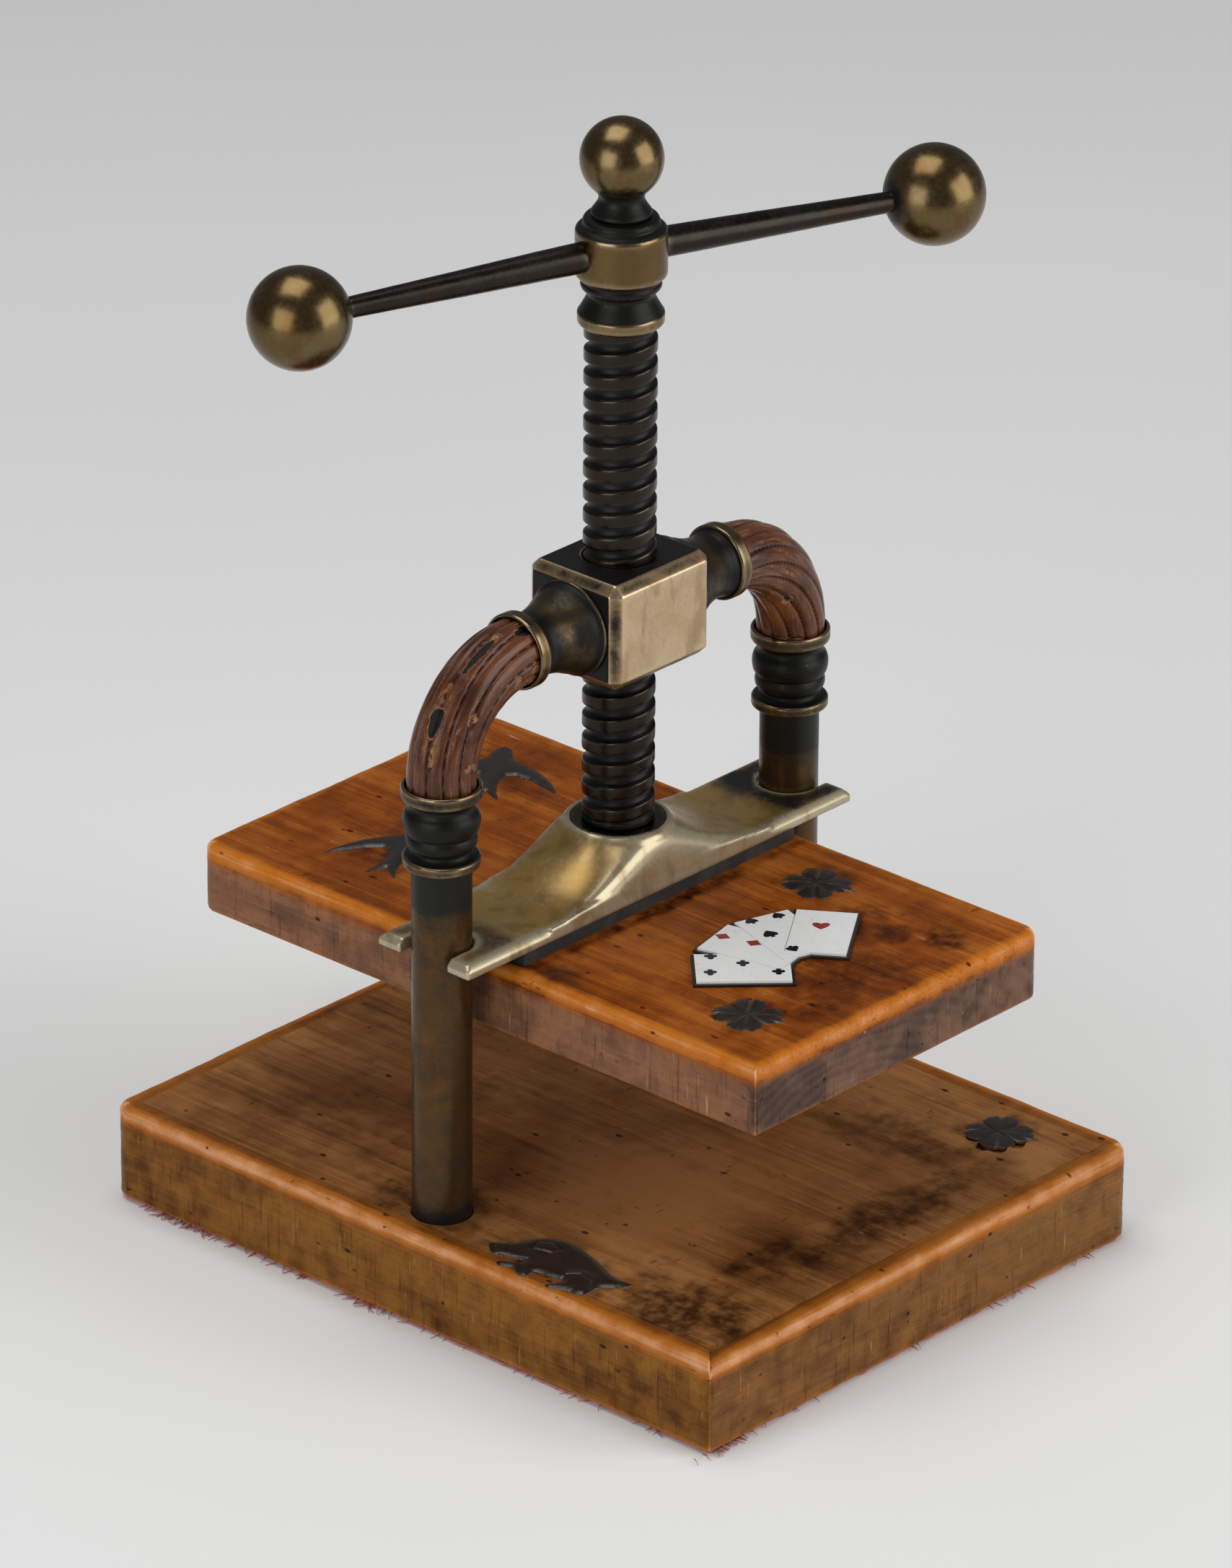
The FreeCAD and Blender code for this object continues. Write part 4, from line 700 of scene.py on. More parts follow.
@dataclass
class Surface:
    """Points with quads and triangles, and the numbers that vertices carry."""

    points: Array
    quads: Array
    tris: Array = field(default_factory=lambda: np.zeros((0, 3), int))
    traits: dict[str, Array] = field(default_factory=dict)

    @staticmethod
    def grid(points: Array, wrap_rows: bool = False, wrap_columns: bool = False,
             shift: int = 0) -> "Surface":
        """Skin over a grid of points.

        Each quad joins four neighbours of the grid; a wrapped direction closes on itself,
        with the last column joined to the first one shift rows further on.

        Args:
            points: rows by columns by 3.
            wrap_rows: whether the last row joins the first.
            wrap_columns: whether the last column joins the first.
            shift: rows by which the closing seam climbs.

        Returns:
            The surface.
        """
        rows, columns = points.shape[:2]
        index = np.arange(rows * columns).reshape(rows, columns)
        if wrap_columns:
            seam = np.roll(index[:, :1], -shift, axis=0)
            if shift:
                seam[-shift:] = index[-1, 0]
            index = np.concatenate([index, seam], axis=1)
        if wrap_rows:
            index = np.concatenate([index, index[:1]], axis=0)
        low, high = index[:-1], index[1:]
        quads = np.stack([low[:, :-1], low[:, 1:], high[:, 1:], high[:, :-1]], -1)
        return Surface(points.reshape(-1, 3), quads.reshape(-1, 4))

    def with_trait(self, name: str, values: Array) -> "Surface":
        """Add a number or a vector for each vertex."""
        shape = (len(self.points), 3) if values.ndim == 3 else (len(self.points),)
        self.traits[name] = values.reshape(shape)
        return self

    def capped(self, ring: Array, centre: Array, outward: bool = True) -> "Surface":
        """Close a ring of vertices with a fan round one new point."""
        spot = len(self.points)
        after = np.roll(ring, -1)
        hub = np.full_like(ring, spot)
        fan = np.stack([ring, after, hub], -1) if outward else np.stack([after, ring, hub], -1)
        traits = {}
        for name, values in self.traits.items():
            traits[name] = np.concatenate([values, values[ring].mean(0, keepdims=True)])
        points = np.concatenate([self.points, centre[None]])
        return Surface(points, self.quads, np.concatenate([self.tris, fan]), traits)

    def placed(self, turn: Array, shift: Sequence[float]) -> "Surface":
        """Turned by a 3 by 3 matrix and moved."""
        return Surface(self.points @ turn.T + np.asarray(shift, float), self.quads, self.tris,
                       self.traits)

    def flipped(self) -> "Surface":
        """With its faces turned round."""
        return Surface(self.points, self.quads[:, ::-1], self.tris[:, ::-1], self.traits)

    @staticmethod
    def joined(parts: Sequence["Surface"]) -> "Surface":
        """Several surfaces as one mesh."""
        starts = np.cumsum([0] + [len(part.points) for part in parts[:-1]])
        names = set().union(*[part.traits.keys() for part in parts])
        traits = {}
        for name in names:
            sample = next(part.traits[name] for part in parts if name in part.traits)
            blank = [part.traits.get(name, np.zeros((len(part.points), *sample.shape[1:])))
                     for part in parts]
            traits[name] = np.concatenate(blank)
        return Surface(np.concatenate([part.points for part in parts]),
                       np.concatenate([part.quads + start for part, start in zip(parts, starts)]),
                       np.concatenate([part.tris + start for part, start in zip(parts, starts)]),
                       traits)


def in_scene(name: str, data: bpy.types.ID) -> bpy.types.Object:
    """New object of the scene with its data."""
    thing = bpy.data.objects.new(name, data)
    bpy.context.scene.collection.objects.link(thing)
    return thing


def carry(mesh: bpy.types.Mesh, trait: str, values: Array) -> None:
    """Give each vertex of a mesh its number or its vector."""
    kind, key = ("FLOAT_VECTOR", "vector") if values.ndim == 2 else ("FLOAT", "value")
    layer = mesh.attributes.new(trait, kind, "POINT")
    layer.data.foreach_set(key, np.ascontiguousarray(values, float).ravel())


class Workshop:
    """Turns surfaces into Blender pieces that ride on the frame."""

    def __init__(self, finishes: Finishes) -> None:
        """Keep the finishes."""
        self.finishes = finishes

    def piece(self, name: str, surface: Surface, body: str, finish: str,
              stands_for: Sequence[str] = (), crease: float = CREASE) -> bpy.types.Object:
        """Make one piece.

        Args:
            name: the piece's name.
            surface: its shape in millimetres.
            body: the CAD body that it rides on.
            finish: the name of its finish.
            stands_for: CAD nodes that it replaces.
            crease: angle in degrees over which an edge stays sharp.

        Returns:
            The Blender object.
        """
        mesh = bpy.data.meshes.new(name)
        faces = surface.quads.tolist() + surface.tris.tolist()
        mesh.from_pydata((surface.points * MM).tolist(), [], faces)
        for trait, values in surface.traits.items():
            carry(mesh, trait, values)
        mesh.validate()
        return self.adopt(name, mesh, body, finish, stands_for, crease)

    def adopt(self, name: str, mesh: bpy.types.Mesh, body: str, finish: str,
              stands_for: Sequence[str], crease: float) -> bpy.types.Object:
        """Make an object of a finished mesh, as piece does."""
        mesh.polygons.foreach_set("use_smooth", np.ones(len(mesh.polygons), bool))
        mesh.set_sharp_from_angle(angle=math.radians(crease))
        thing = in_scene(name, mesh)
        self.finishes.dress(thing, finish)
        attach(thing, body)
        if stands_for:
            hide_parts(*stands_for)
        LOG.info("%s: %d faces", name, len(mesh.polygons))
        return thing

    def worn_copy(self, name: str, nodes: Sequence[str], body: str, finish: str,
                  voxel: float, passes: int, crease: float = 60.0,
                  weather: Optional[Weather] = None,
                  melt: Optional[Callable[[Array], Array]] = None) -> bpy.types.Object:
        """Copy of CAD nodes whose edges are rubbed round.

        The merged copy is remeshed to small cubes and smoothed a few times. Each vertex then
        carries how far it stands over its smoothed surroundings, which is its ridge value.

        Args:
            name: the piece's name.
            nodes: CAD nodes to copy and replace.
            body: the body that it rides on.
            finish: the name of its finish.
            voxel: cube size in millimetres.
            passes: smoothing passes.
            crease: angle over which an edge stays sharp.
            weather: gives patina and shine for points and normals.
            melt: gives the share of heavy smoothing for points.

        Returns:
            The Blender object.
        """
        whole = bpy.data.meshes.new(name)
        corners = []
        faces = []
        count = 0
        for node in nodes:
            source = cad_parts[node].data
            corners += [tuple(vertex.co) for vertex in source.vertices]
            faces += [tuple(count + item for item in face.vertices) for face in source.polygons]
            count += len(source.vertices)
        whole.from_pydata(corners, [], faces)
        thing = in_scene(f"{name}_raw", whole)
        weld = thing.modifiers.new("weld", "WELD")
        weld.merge_threshold = WELD_GAP
        cubes = thing.modifiers.new("cubes", "REMESH")
        cubes.mode = "VOXEL"
        cubes.voxel_size = voxel * MM
        soften = thing.modifiers.new("soften", "SMOOTH")
        soften.factor = 0.5
        soften.iterations = passes
        graph = bpy.context.evaluated_depsgraph_get()
        graph.update()
        mesh = bpy.data.meshes.new_from_object(thing.evaluated_get(graph))
        bpy.data.objects.remove(thing)
        mesh.name = name
        if melt is not None:
            points = values_of(mesh, "co") / MM
            share = melt(points)[:, None]
            points += (relaxed(mesh, points, MELT_PASSES) - points) * share
            mesh.vertices.foreach_set("co", (points * MM).ravel())
            mesh.update()
        ridge = ridge_of(mesh)
        if weather is not None:
            crust, shine = weather(values_of(mesh, "co") / MM, values_of(mesh, "normal"))
            carry(mesh, "patina", crust)
            # The shine raises the ridge value: polish on the nut's front, a painted highlight on
            # the bridge's front slope.
            ridge = ridge + shine
        carry(mesh, "ridge", ridge)
        return self.adopt(name, mesh, body, finish, nodes, crease)

    def dress_node(self, node: str, finish: str) -> None:
        """Give a CAD node that stays in view its finish."""
        self.finishes.dress(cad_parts[node], finish)


def values_of(mesh: bpy.types.Mesh, key: str) -> Array:
    """Vertex vectors of a mesh, points by 3."""
    values = np.empty(len(mesh.vertices) * 3)
    mesh.vertices.foreach_get(key, values)
    return values.reshape(-1, 3)


def relaxed(mesh: bpy.types.Mesh, points: Array, passes: int) -> Array:
    """Points after passes that move every vertex to the mean of its neighbours."""
    count = len(points)
    edges = np.empty(len(mesh.edges) * 2, int)
    mesh.edges.foreach_get("vertices", edges)
    edges = edges.reshape(-1, 2)
    degree = np.maximum(np.bincount(edges.ravel(), minlength=count)[:, None], 1)
    soft = points.copy()
    for _ in range(passes):
        total = np.stack([np.bincount(edges[:, 0], soft[edges[:, 1], axis], count)
                          + np.bincount(edges[:, 1], soft[edges[:, 0], axis], count)
                          for axis in range(3)], -1)
        soft = total / degree
    return soft


def ridge_of(mesh: bpy.types.Mesh) -> Array:
    """Height of each vertex over its relaxed surroundings, along its normal.

    The height over RIDGE_SCALE millimetres is the value, kept between -1 and 1.
    """
    points = values_of(mesh, "co") / MM
    lost = points - relaxed(mesh, points, RIDGE_PASSES)
    return np.clip((lost * values_of(mesh, "normal")).sum(-1) / RIDGE_SCALE, -1.0, 1.0)


def wavy(first: Array, second: Array, seed: int, waves: int = 5) -> Array:
    """Smooth noise of two parameters between about -1 and 1.

    Sum of sines whose frequencies and phases come from the seed; the first parameter's
    frequencies are whole numbers, so it may be an angle.
    """
    chance = np.random.default_rng(seed)
    total = np.zeros(np.broadcast(first, second).shape)
    for wave in range(waves):
        around = chance.integers(1, 2 + wave * 2)
        along = chance.uniform(0.3, 1.4 + wave)
        phase, other = chance.uniform(0, math.tau, 2)
        total = total + np.sin(first * around + phase + along * second * 0.6) \
            * np.sin(second * along + other) / (1 + wave * 0.5)
    return total / 2.2


def soft_outline(corners: Sequence[Sequence[float]], closed: bool = False,
                 spacing: float = 0.5, arc_points: int = 5) -> Array:
    """Polyline whose corners are rounded and whose runs are divided.

    A corner is (a, b) or (a, b, softness). Softness is the distance from the corner at
    which a quadratic curve starts to turn; it takes at most 0.45 of each neighbouring run.

    Args:
        corners: the outline's corners.
        closed: whether the last corner joins the first.
        spacing: longest step on a straight run.
        arc_points: points on each rounded corner.

    Returns:
        Points by 2.
    """
    spots = np.array([corner[:2] for corner in corners], float)
    softness = [corner[2] if len(corner) > 2 else 0.0 for corner in corners]
    count = len(spots)
    pieces = []
    for index in range(count):
        here = spots[index]
        ends = not closed and index in (0, count - 1)
        if ends or softness[index] <= 0:
            pieces.append(here[None])
            continue
        back = spots[index - 1] - here
        ahead = spots[(index + 1) % count] - here
        back_run, ahead_run = np.linalg.norm(back), np.linalg.norm(ahead)
        reach = min(softness[index], 0.45 * back_run, 0.45 * ahead_run)
        start = here + back / back_run * reach
        end = here + ahead / ahead_run * reach
        t = np.linspace(0, 1, arc_points)[:, None]
        pieces.append((1 - t) ** 2 * start + 2 * t * (1 - t) * here + t ** 2 * end)
    points = np.concatenate(pieces + ([pieces[0][:1]] if closed else []))
    result = [points[:1]]
    for first, last in zip(points[:-1], points[1:]):
        steps = max(int(math.ceil(np.linalg.norm(last - first) / spacing)), 1)
        share = np.linspace(0, 1, steps + 1)[1:, None]
        result.append(first + (last - first) * share)
    whole = np.concatenate(result)
    return whole[:-1] if closed else whole


def ridge_profile(outline: Array, reach: float = 1.6, scale: float = 0.32) -> Array:
    """How far each outline point stands out over its neighbourhood, from -1 to 1.

    The neighbourhood is the mean radius of the points within reach, weighted by a bell
    curve over the distance along the outline.
    """
    steps = np.linalg.norm(np.diff(outline, axis=0), axis=1)
    along = np.concatenate([[0], np.cumsum(steps)])
    width = np.gradient(along) + 1e-6
    weights = bell(along[:, None] - along[None], reach) * width[None]
    mean = weights @ outline / weights.sum(1, keepdims=True)
    tangent = np.gradient(outline, axis=0)
    tangent /= np.linalg.norm(tangent, axis=1, keepdims=True) + 1e-9
    normal = np.stack([tangent[:, 1], -tangent[:, 0]], -1)
    return np.clip(((outline - mean) * normal).sum(1) / scale, -1, 1)


@dataclass
class Turned:
    """Turned piece: an outline of radius and height carried round Z."""

    corners: Sequence[Sequence[float]]
    segments: int = 128
    uneven: float = 0.012
    seed: int = 1
    spacing: float = 0.6
    patina: Sequence[tuple[float, float]] = ((0.0, 0.35),)

    def surface(self) -> Surface:
        """Surface of revolution.

        Each outline point (r, h) becomes the ring (r cos a, r sin a, h), with r changed by
        a slow noise of angle and height. Ends on the axis become fans.

        Returns:
            A surface whose faces point outwards for an outline that climbs.
        """
        outline = soft_outline(self.corners, spacing=self.spacing)
        ridge = ridge_profile(outline)
        closed_low, closed_high = outline[0, 0] < 1e-6, outline[-1, 0] < 1e-6
        inner = slice(int(closed_low), len(outline) - int(closed_high))
        body = outline[inner]
        angle = circle(self.segments)[None]
        radius = body[:, :1] + self.uneven * wavy(angle, body[:, 1:] * 0.5, self.seed)
        height = np.broadcast_to(body[:, 1:], radius.shape)
        points = np.stack([radius * np.cos(angle), radius * np.sin(angle), height], -1)
        skin = Surface.grid(points, wrap_columns=True)
        crust = np.interp(body[:, 1], *np.array(self.patina).T)
        for name, values in (("ridge", ridge[inner]), ("patina", crust)):
            skin.with_trait(name, np.broadcast_to(values[:, None], radius.shape).copy())
        ring = np.arange(self.segments)
        if closed_low:
            skin = skin.capped(ring, np.array([0, 0, outline[0, 1]]), outward=False)
        if closed_high:
            last = ring + (len(body) - 1) * self.segments
            skin = skin.capped(last, np.array([0, 0, outline[-1, 1]]))
        return skin


def turn_to(direction: Sequence[float]) -> Array:
    """Matrix that turns +Z to a direction."""
    way = Vector(direction).normalized()
    return np.array(Vector((0, 0, 1)).rotation_difference(way).to_matrix())


# Base


@dataclass
class Base:
    """Base board: panel, four worn edge strips and the baize."""

    left: float = -83.0
    right: float = 86.4
    half_length: float = 108.5
    low: float = 1.2
    top: float = BASE_TOP
    strip: float = 6.0
    edge: float = 5.2
    corner_radii: tuple[float, float, float, float] = (1.6, 6.5, 6.5, 6.5)
    step_down: float = 2.2

    def middle(self) -> Array:
        """Middle of the board in plan."""
        return np.array([(self.left + self.right) / 2, 0.0])

    def section(self) -> Array:
        """Closed section of a strip as (inset, height), from the joint over the edge."""
        top, edge = self.top, self.edge
        corners = [(self.strip, self.low + 0.1, 0.3), (self.strip, top, 0.35),
                   (edge * 0.98, top, 0.4), (0.0, top, edge * 1.72), (0.0, top - edge * 1.9, 1.0),
                   (0.0, self.low, 0.9)]
        return soft_outline(corners, closed=True, spacing=1.1, arc_points=11)

    def ring(self, inset: Array, radii: Sequence[float], run: Array) -> Array:
        """Points of a rounded rectangle at an inset, for places 0 to 4 round it.

        Each unit of the run is one side; its first and last eighth turn the halves of the
        two corners, and the rest is straight. A corner's radius shrinks with the inset.

        Args:
            inset: distance inside the outer edge, one for each column.
            radii: the four outer corner radii from front left, going round by the right.
            run: places round the rectangle, one for each row.

        Returns:
            Rows by columns by 2.
        """
        centres = np.array([[self.left, -self.half_length], [self.right, -self.half_length],
                            [self.right, self.half_length], [self.left, self.half_length]])
        inward = np.array([[1, 1], [-1, 1], [-1, -1], [1, -1]], float)
        side = np.floor(run).astype(int) % 4
        part = run - np.floor(run)
        radius = np.maximum(np.array(radii)[:, None] - inset[None], 0.0)
        middle = centres[:, None] + inward[:, None] * (inset[None] + radius)[..., None]
        facing = np.array([-0.75, -0.25, 0.25, 0.75]) * math.pi

        def on_corner(which: Array, swing: Array) -> Array:
            """Point on a corner's arc, swung from its diagonal."""
            angle = facing[which][:, None] + swing[:, None]
            spread = np.stack([np.cos(angle), np.sin(angle)], -1)
            return middle[which] + spread * radius[which][..., None]

        after = (side + 1) % 4
        first = on_corner(side, np.minimum(part / EIGHTH, 1.0) * math.pi / 4)
        last = on_corner(after, -np.minimum((1 - part) / EIGHTH, 1.0) * math.pi / 4)
        share = np.clip((part - EIGHTH) / (1 - 2 * EIGHTH), 0, 1)[:, None, None]
        return first * (1 - share) + last * share

    def strip_surface(self, side: int) -> Surface:
        """One mitred strip with small dents, ends closed.

        Args:
            side: 0 front, 1 right, 2 back, 3 left.

        Returns:
            The strip's surface.
        """
        section = self.section()
        run = side_run(150) + side
        run[0] += 0.0004
        run[-1] -= 0.0004
        flat = self.ring(section[:, 0], self.corner_radii, np.minimum(run, side + 0.99999))
        height = np.broadcast_to(section[:, 1], flat.shape[:2]).copy()
        if side == 0:
            sink = self.step_down * np.clip(1 - (run - side) / 0.6, 0, 1) ** 1.2
            upper = np.clip((height - self.low) / (self.top - self.low), 0, 1) ** 3
            height -= sink[:, None] * upper
        along = run[:, None] * 9.0
        outer = bell(section[:, 0], 3.0)[None]
        level = section[None, :, 1]
        dent = 0.16 * wavy(along * 2.0, level * 0.35, 20 + side, 7) \
            + 0.07 * wavy(along * 9.0, level * 1.1, 40 + side, 6)
        bulge = (dent - 0.16) * outer
        flat = flat + unit(flat - self.middle()) * bulge[..., None]
        height += np.minimum(bulge, 0.0) * 0.7 * (height > self.top - self.edge)
        points = np.concatenate([flat, height[..., None]], -1)
        skin = Surface.grid(points, wrap_columns=True)
        # Ridge values for the rounding, the foot and the corners: pale wear with a painted
        # highlight on the rounding, painted highlight lines on the corners.
        turn = bell(section[:, 1] - (self.top - 2.0), 2.6) * bell(section[:, 0] - 1.4, 2.6)
        foot = 0.55 * bell(section[:, 1] - self.low, 1.3) * (section[:, 0] < 2)
        ridge = np.broadcast_to((turn * 1.05 + foot)[None], flat.shape[:2]).copy()
        corner = np.exp(-np.minimum(run - side, 1 - run + side) / 0.02)[:, None]
        ridge = np.clip(ridge + corner * (section[None, :, 0] < 3) * 0.55, 0, 1)
        skin.with_trait("ridge", ridge)
        flank = np.clip((self.top - self.edge * 0.8 - section[:, 1]) / 2.5, 0, 1)
        skin.with_trait("flank", np.broadcast_to(flank[None], flat.shape[:2]).copy())
        count = section.shape[0]
        start = np.arange(count)
        end = start + (len(run) - 1) * count
        skin = skin.capped(start, points[0].mean(0), outward=True)
        return skin.capped(end, points[-1].mean(0), outward=False).flipped()

    def baize_surface(self) -> Surface:
        """Thin cloth under the board with a frayed edge.

        The cloth is a ring grid between an inner and an outer outline; the outer one
        wanders in and out by noise, and lies at the board's underside.
        """
        run = np.linspace(0, 4, 960, endpoint=False)
        inset = np.array([1.6])
        edge = self.ring(inset, self.corner_radii, run)[:, 0]
        fray = 0.45 * wavy(run * math.pi / 2 * 30, run * 14, 5, 7) \
            + 0.35 * wavy(run * math.pi / 2 * 90, run * 50, 6, 6)
        middle = self.middle()
        torn = 1.3 * bell(run - 3.62, 0.10) * (0.6 + 0.8 * wavy(run * 60, run * 31, 8, 6))
        reach = np.clip(fray + 0.35 + np.maximum(torn, 0), -0.4, 1.5)
        edge = edge + unit(edge - middle) * reach[:, None]
        rows = [(0.93, 1.15), (0.985, 1.15), (1.0, 0.8), (1.0, 0.35), (0.985, 0.05), (0.93, 0.05)]
        rings = [np.concatenate([middle + (edge - middle) * share,
                                 np.full((len(run), 1), height)], -1) for share, height in rows]
        points = np.stack(rings, 0)
        skin = Surface.grid(points, wrap_columns=True)
        count = len(run)
        ring = np.arange(count)
        skin = skin.capped(ring, np.array([*middle, 1.15]), outward=True)
        last = ring + 5 * count
        skin = skin.capped(last, np.array([*middle, 0.05]), outward=False)
        return Surface.joined([skin.flipped()] + self.threads())

    def threads(self) -> list[Surface]:
        """Frayed threads that hang out under the left and front edges.

        Each thread is a square tube along a curve that leaves the edge and bends aside.
        """
        chance = np.random.default_rng(12)
        spots = [(-1, y, 1.0) for y in chance.normal(80, 9, 26)]
        spots += [(-1, y, 1.2) for y in chance.normal(14, 4, 16)]
        spots += [(-1, y, 0.9) for y in chance.uniform(-104, 100, 46)]
        spots += [(0, x, 1.1) for x in chance.normal(-76, 5, 18)]
        spots += [(0, x, 0.8) for x in chance.uniform(-80, 80, 22)]
        made = []
        turn = np.arange(4) * math.pi / 2
        for left, along, size in spots:
            out, side = chance.uniform(0.8, 2.6) * size, chance.normal(0, 1.8) * size
            t = np.linspace(0, 1, 6)
            far = -1.2 + (out + 1.2) * t
            bend = side * t ** 2
            z = 0.65 - 0.35 * t + chance.uniform(0, 0.25) * np.sin(3 * t)
            edge = (self.left + 0.6) if left else (-self.half_length + 0.6)
            line = np.stack([edge - far, along + bend, z], -1) if left else \
                np.stack([along + bend, edge - far, z], -1)
            thick = 0.24 * (1 - 0.5 * t)
            ring = np.stack([np.cos(turn), 0 * turn, np.sin(turn)], -1) if left else \
                np.stack([0 * turn, np.cos(turn), np.sin(turn)], -1)
            points = line[:, None] + thick[:, None, None] * ring[None]
            strand = Surface.grid(points, wrap_columns=True)
            made.append(strand.capped(np.arange(4), line[0], outward=False)
                        .capped(np.arange(4) + 20, line[-1]))
        return made

    def build(self, shop: Workshop) -> None:
        """Make the strips and the baize, and dress the panel."""
        for side, word in enumerate(("front", "right", "back", "left")):
            finish = "end_strip_wood" if word in ("front", "back") else "side_strip_wood"
            shop.piece(f"base_edge_{word}", self.strip_surface(side), "frame", finish,
                       [f"base_strip_{word}"], crease=45.0)
        shop.dress_node("base_panel", "panel_wood")
        cloth = shop.piece("base_cloth", self.baize_surface(), "frame", "red_baize",
                           ["base_baize"], crease=60.0)
        (self.right - self.left - 2) * MM
        (self.half_length * 2 - 2) * MM


# Columns and yoke


@dataclass
class Column:
    """One column with its collar, elbow sleeve, core and boss."""

    side: int
    word: str
    x: float = 68.0
    radius: float = 8.0
    floor_z: float = 149.5
    bend_z: float = 153.0
    nut_z: float = 180.2
    bend: float = 27.2
    sleeve: float = 9.4
    reeds: int = 12

    def shaft(self) -> Surface:
        """Column from inside the base to the collar."""
        corners = [(0, 4.0), (3.9, 4.0), (4, 13.6), (7.9, 13.7), (8.0, 14.2, 0.2),
                   (8.0, 28.0), (self.radius, 60.0), (self.radius, 100.0),
                   (self.radius, 129.15, 0.2), (5, 129.15), (5, 155.4), (0, 155.4)]
        crust = [(28, 0.80), (33, 0.42), (100, 0.38), (117, 0.50), (121, 0.9), (130, 1.0)]
        return Turned(corners, 128, 0.02, 3 + self.side, 1.6, crust).surface()

    def collar(self) -> Surface:
        """Turned collar: ring, flare, two beads and cup."""
        corners = [(5.12, 129.2), (9.8, 129.2), (10.33, 129.6, 0.4), (10.33, 131.6, 0.4),
                   (9.9, 132.0, 0.4), (8.4, 132.4, 0.6), (7.65, 133.3, 0.6), (7.7, 134.1, 0.4),
                   (8.7, 134.4, 0.5), (9.3, 135.4, 0.6), (9.5, 136.6, 0.8), (9.3, 137.7, 0.7),
                   (8.95, 138.4, 0.3), (9.0, 138.7, 0.3), (9.9, 139.5, 0.7), (10.25, 141.3, 0.9),
                   (10.25, 142.9, 0.9), (9.8, 144.3, 0.8), (9.0, 145.3, 0.5), (8.65, 146.3, 0.5),
                   (8.7, 147.2, 0.4), (10.0, 148.2, 0.5), (10.6, 148.7, 0.4), (10.7, 149.3, 0.4),
                   (10.7, 151.6, 0.4), (10.4, 152.05, 0.3), (9.75, 152.05, 0.2),
                   (9.65, 149.5, 0.2), (5.12, 149.5), (5.12, 129.2)]
        crust = [(129.2, 0.75), (131.8, 0.70), (132.4, 0.95), (146.0, 0.90), (148.4, 0.9),
                 (149.2, 0.66), (152.1, 0.62)]
        return Turned(corners, 144, 0.03, 11 + self.side, 0.35, crust).surface()

    def path(self, start_z: float, end_x: float, rows: int) -> tuple[Array, Array, Array]:
        """Centre line up, round the bend and in, with its tangents.

        A straight rise, a quarter circle and a straight run inwards, sampled evenly.

        Args:
            start_z: height of its foot.
            end_x: distance from the screw axis at its end.
            rows: number of samples.

        Returns:
            Places along the line, points by 3, tangents by 3.
        """
        rise = self.bend_z - start_z
        arc = self.bend * math.pi / 2
        run = self.x - self.bend - end_x
        along = np.linspace(0, rise + arc + run, rows)
        angle = np.clip((along - rise) / self.bend, 0, math.pi / 2)
        late = np.maximum(along - rise - arc, 0)
        x = self.x - self.bend * (1 - np.cos(angle)) - late
        z = np.minimum(start_z + along, self.bend_z) + self.bend * np.sin(angle)
        points = np.stack([x * self.side, np.zeros(rows), z], -1)
        tangents = np.stack([-np.sin(angle) * self.side, np.zeros(rows), np.cos(angle)], -1)
        return along, points, tangents

    def tube(self, start_z: float, end_x: float, radius: Array, turn: Array) -> Array:
        """Points round the path at a radius for each row and column."""
        rows, columns = radius.shape
        _, centre, tangent = self.path(start_z, end_x, rows)
        level = np.broadcast_to(np.array([0.0, 1.0, 0.0]), centre.shape)
        outward = np.cross(level, tangent) * self.side
        return centre[:, None] + radius[..., None] * (
            outward[:, None] * np.cos(turn)[None, :, None]
            + level[:, None] * np.sin(turn)[None, :, None])

    def chips(self, along: Array, turn: Array) -> Array:
        """Chip depth from 0 to 1 over the sleeve: placed lens-shaped chips plus crumbs."""
        spots = {
            -1: [(34, -0.21, 6.0, 0.17, 1.05), (24, -0.07, 2.6, 0.12, 0.75),
                 (17.9, -0.14, 3.6, 0.26, 1.0), (20.8, -1.19, 2.2, 0.16, 0.6),
                 (46.4, -0.50, 3.4, 0.22, 1.05), (11.0, -0.35, 3.0, 0.16, 0.55),
                 (38, -1.9, 2.0, 0.3, 0.7), (45, -1.9, 1.6, 0.5, 0.65), (9, -1.7, 1.6, 0.3, 0.55),
                 (29, 1.3, 4.0, 0.2, 0.9), (15, 2.2, 4.0, 0.25, 0.8)],
            1: [(18.7, -2.25, 2.2, 0.22, 0.72), (1.6, -2.5, 1.5, 0.6, 0.7),
                (24, -2.8, 1.6, 0.12, 0.6), (30, -1.7, 2.2, 0.12, 0.5), (36, 0.4, 4.0, 0.2, 0.8),
                (14, 0.9, 5.0, 0.2, 0.9)],
        }[self.side]
        total = np.zeros(np.broadcast(along, turn).shape)
        for place, angle, long, wide, depth in spots:
            swing = (turn - angle + math.pi) % (2 * math.pi) - math.pi
            warp = 0.25 * wavy(turn * 3, along * 0.9, 70 + int(place), 5)
            far = np.sqrt(((along - place) / long) ** 2 + (swing / wide) ** 2) + warp
            total = np.maximum(total, depth * np.clip((1.15 - far) / 0.45, 0, 1))
        crumbs = wavy(turn * 9, along * 2.2, 90 + self.side, 7)
        return np.maximum(total, np.clip((crumbs - 0.95) * 2.0, 0, 0.55))

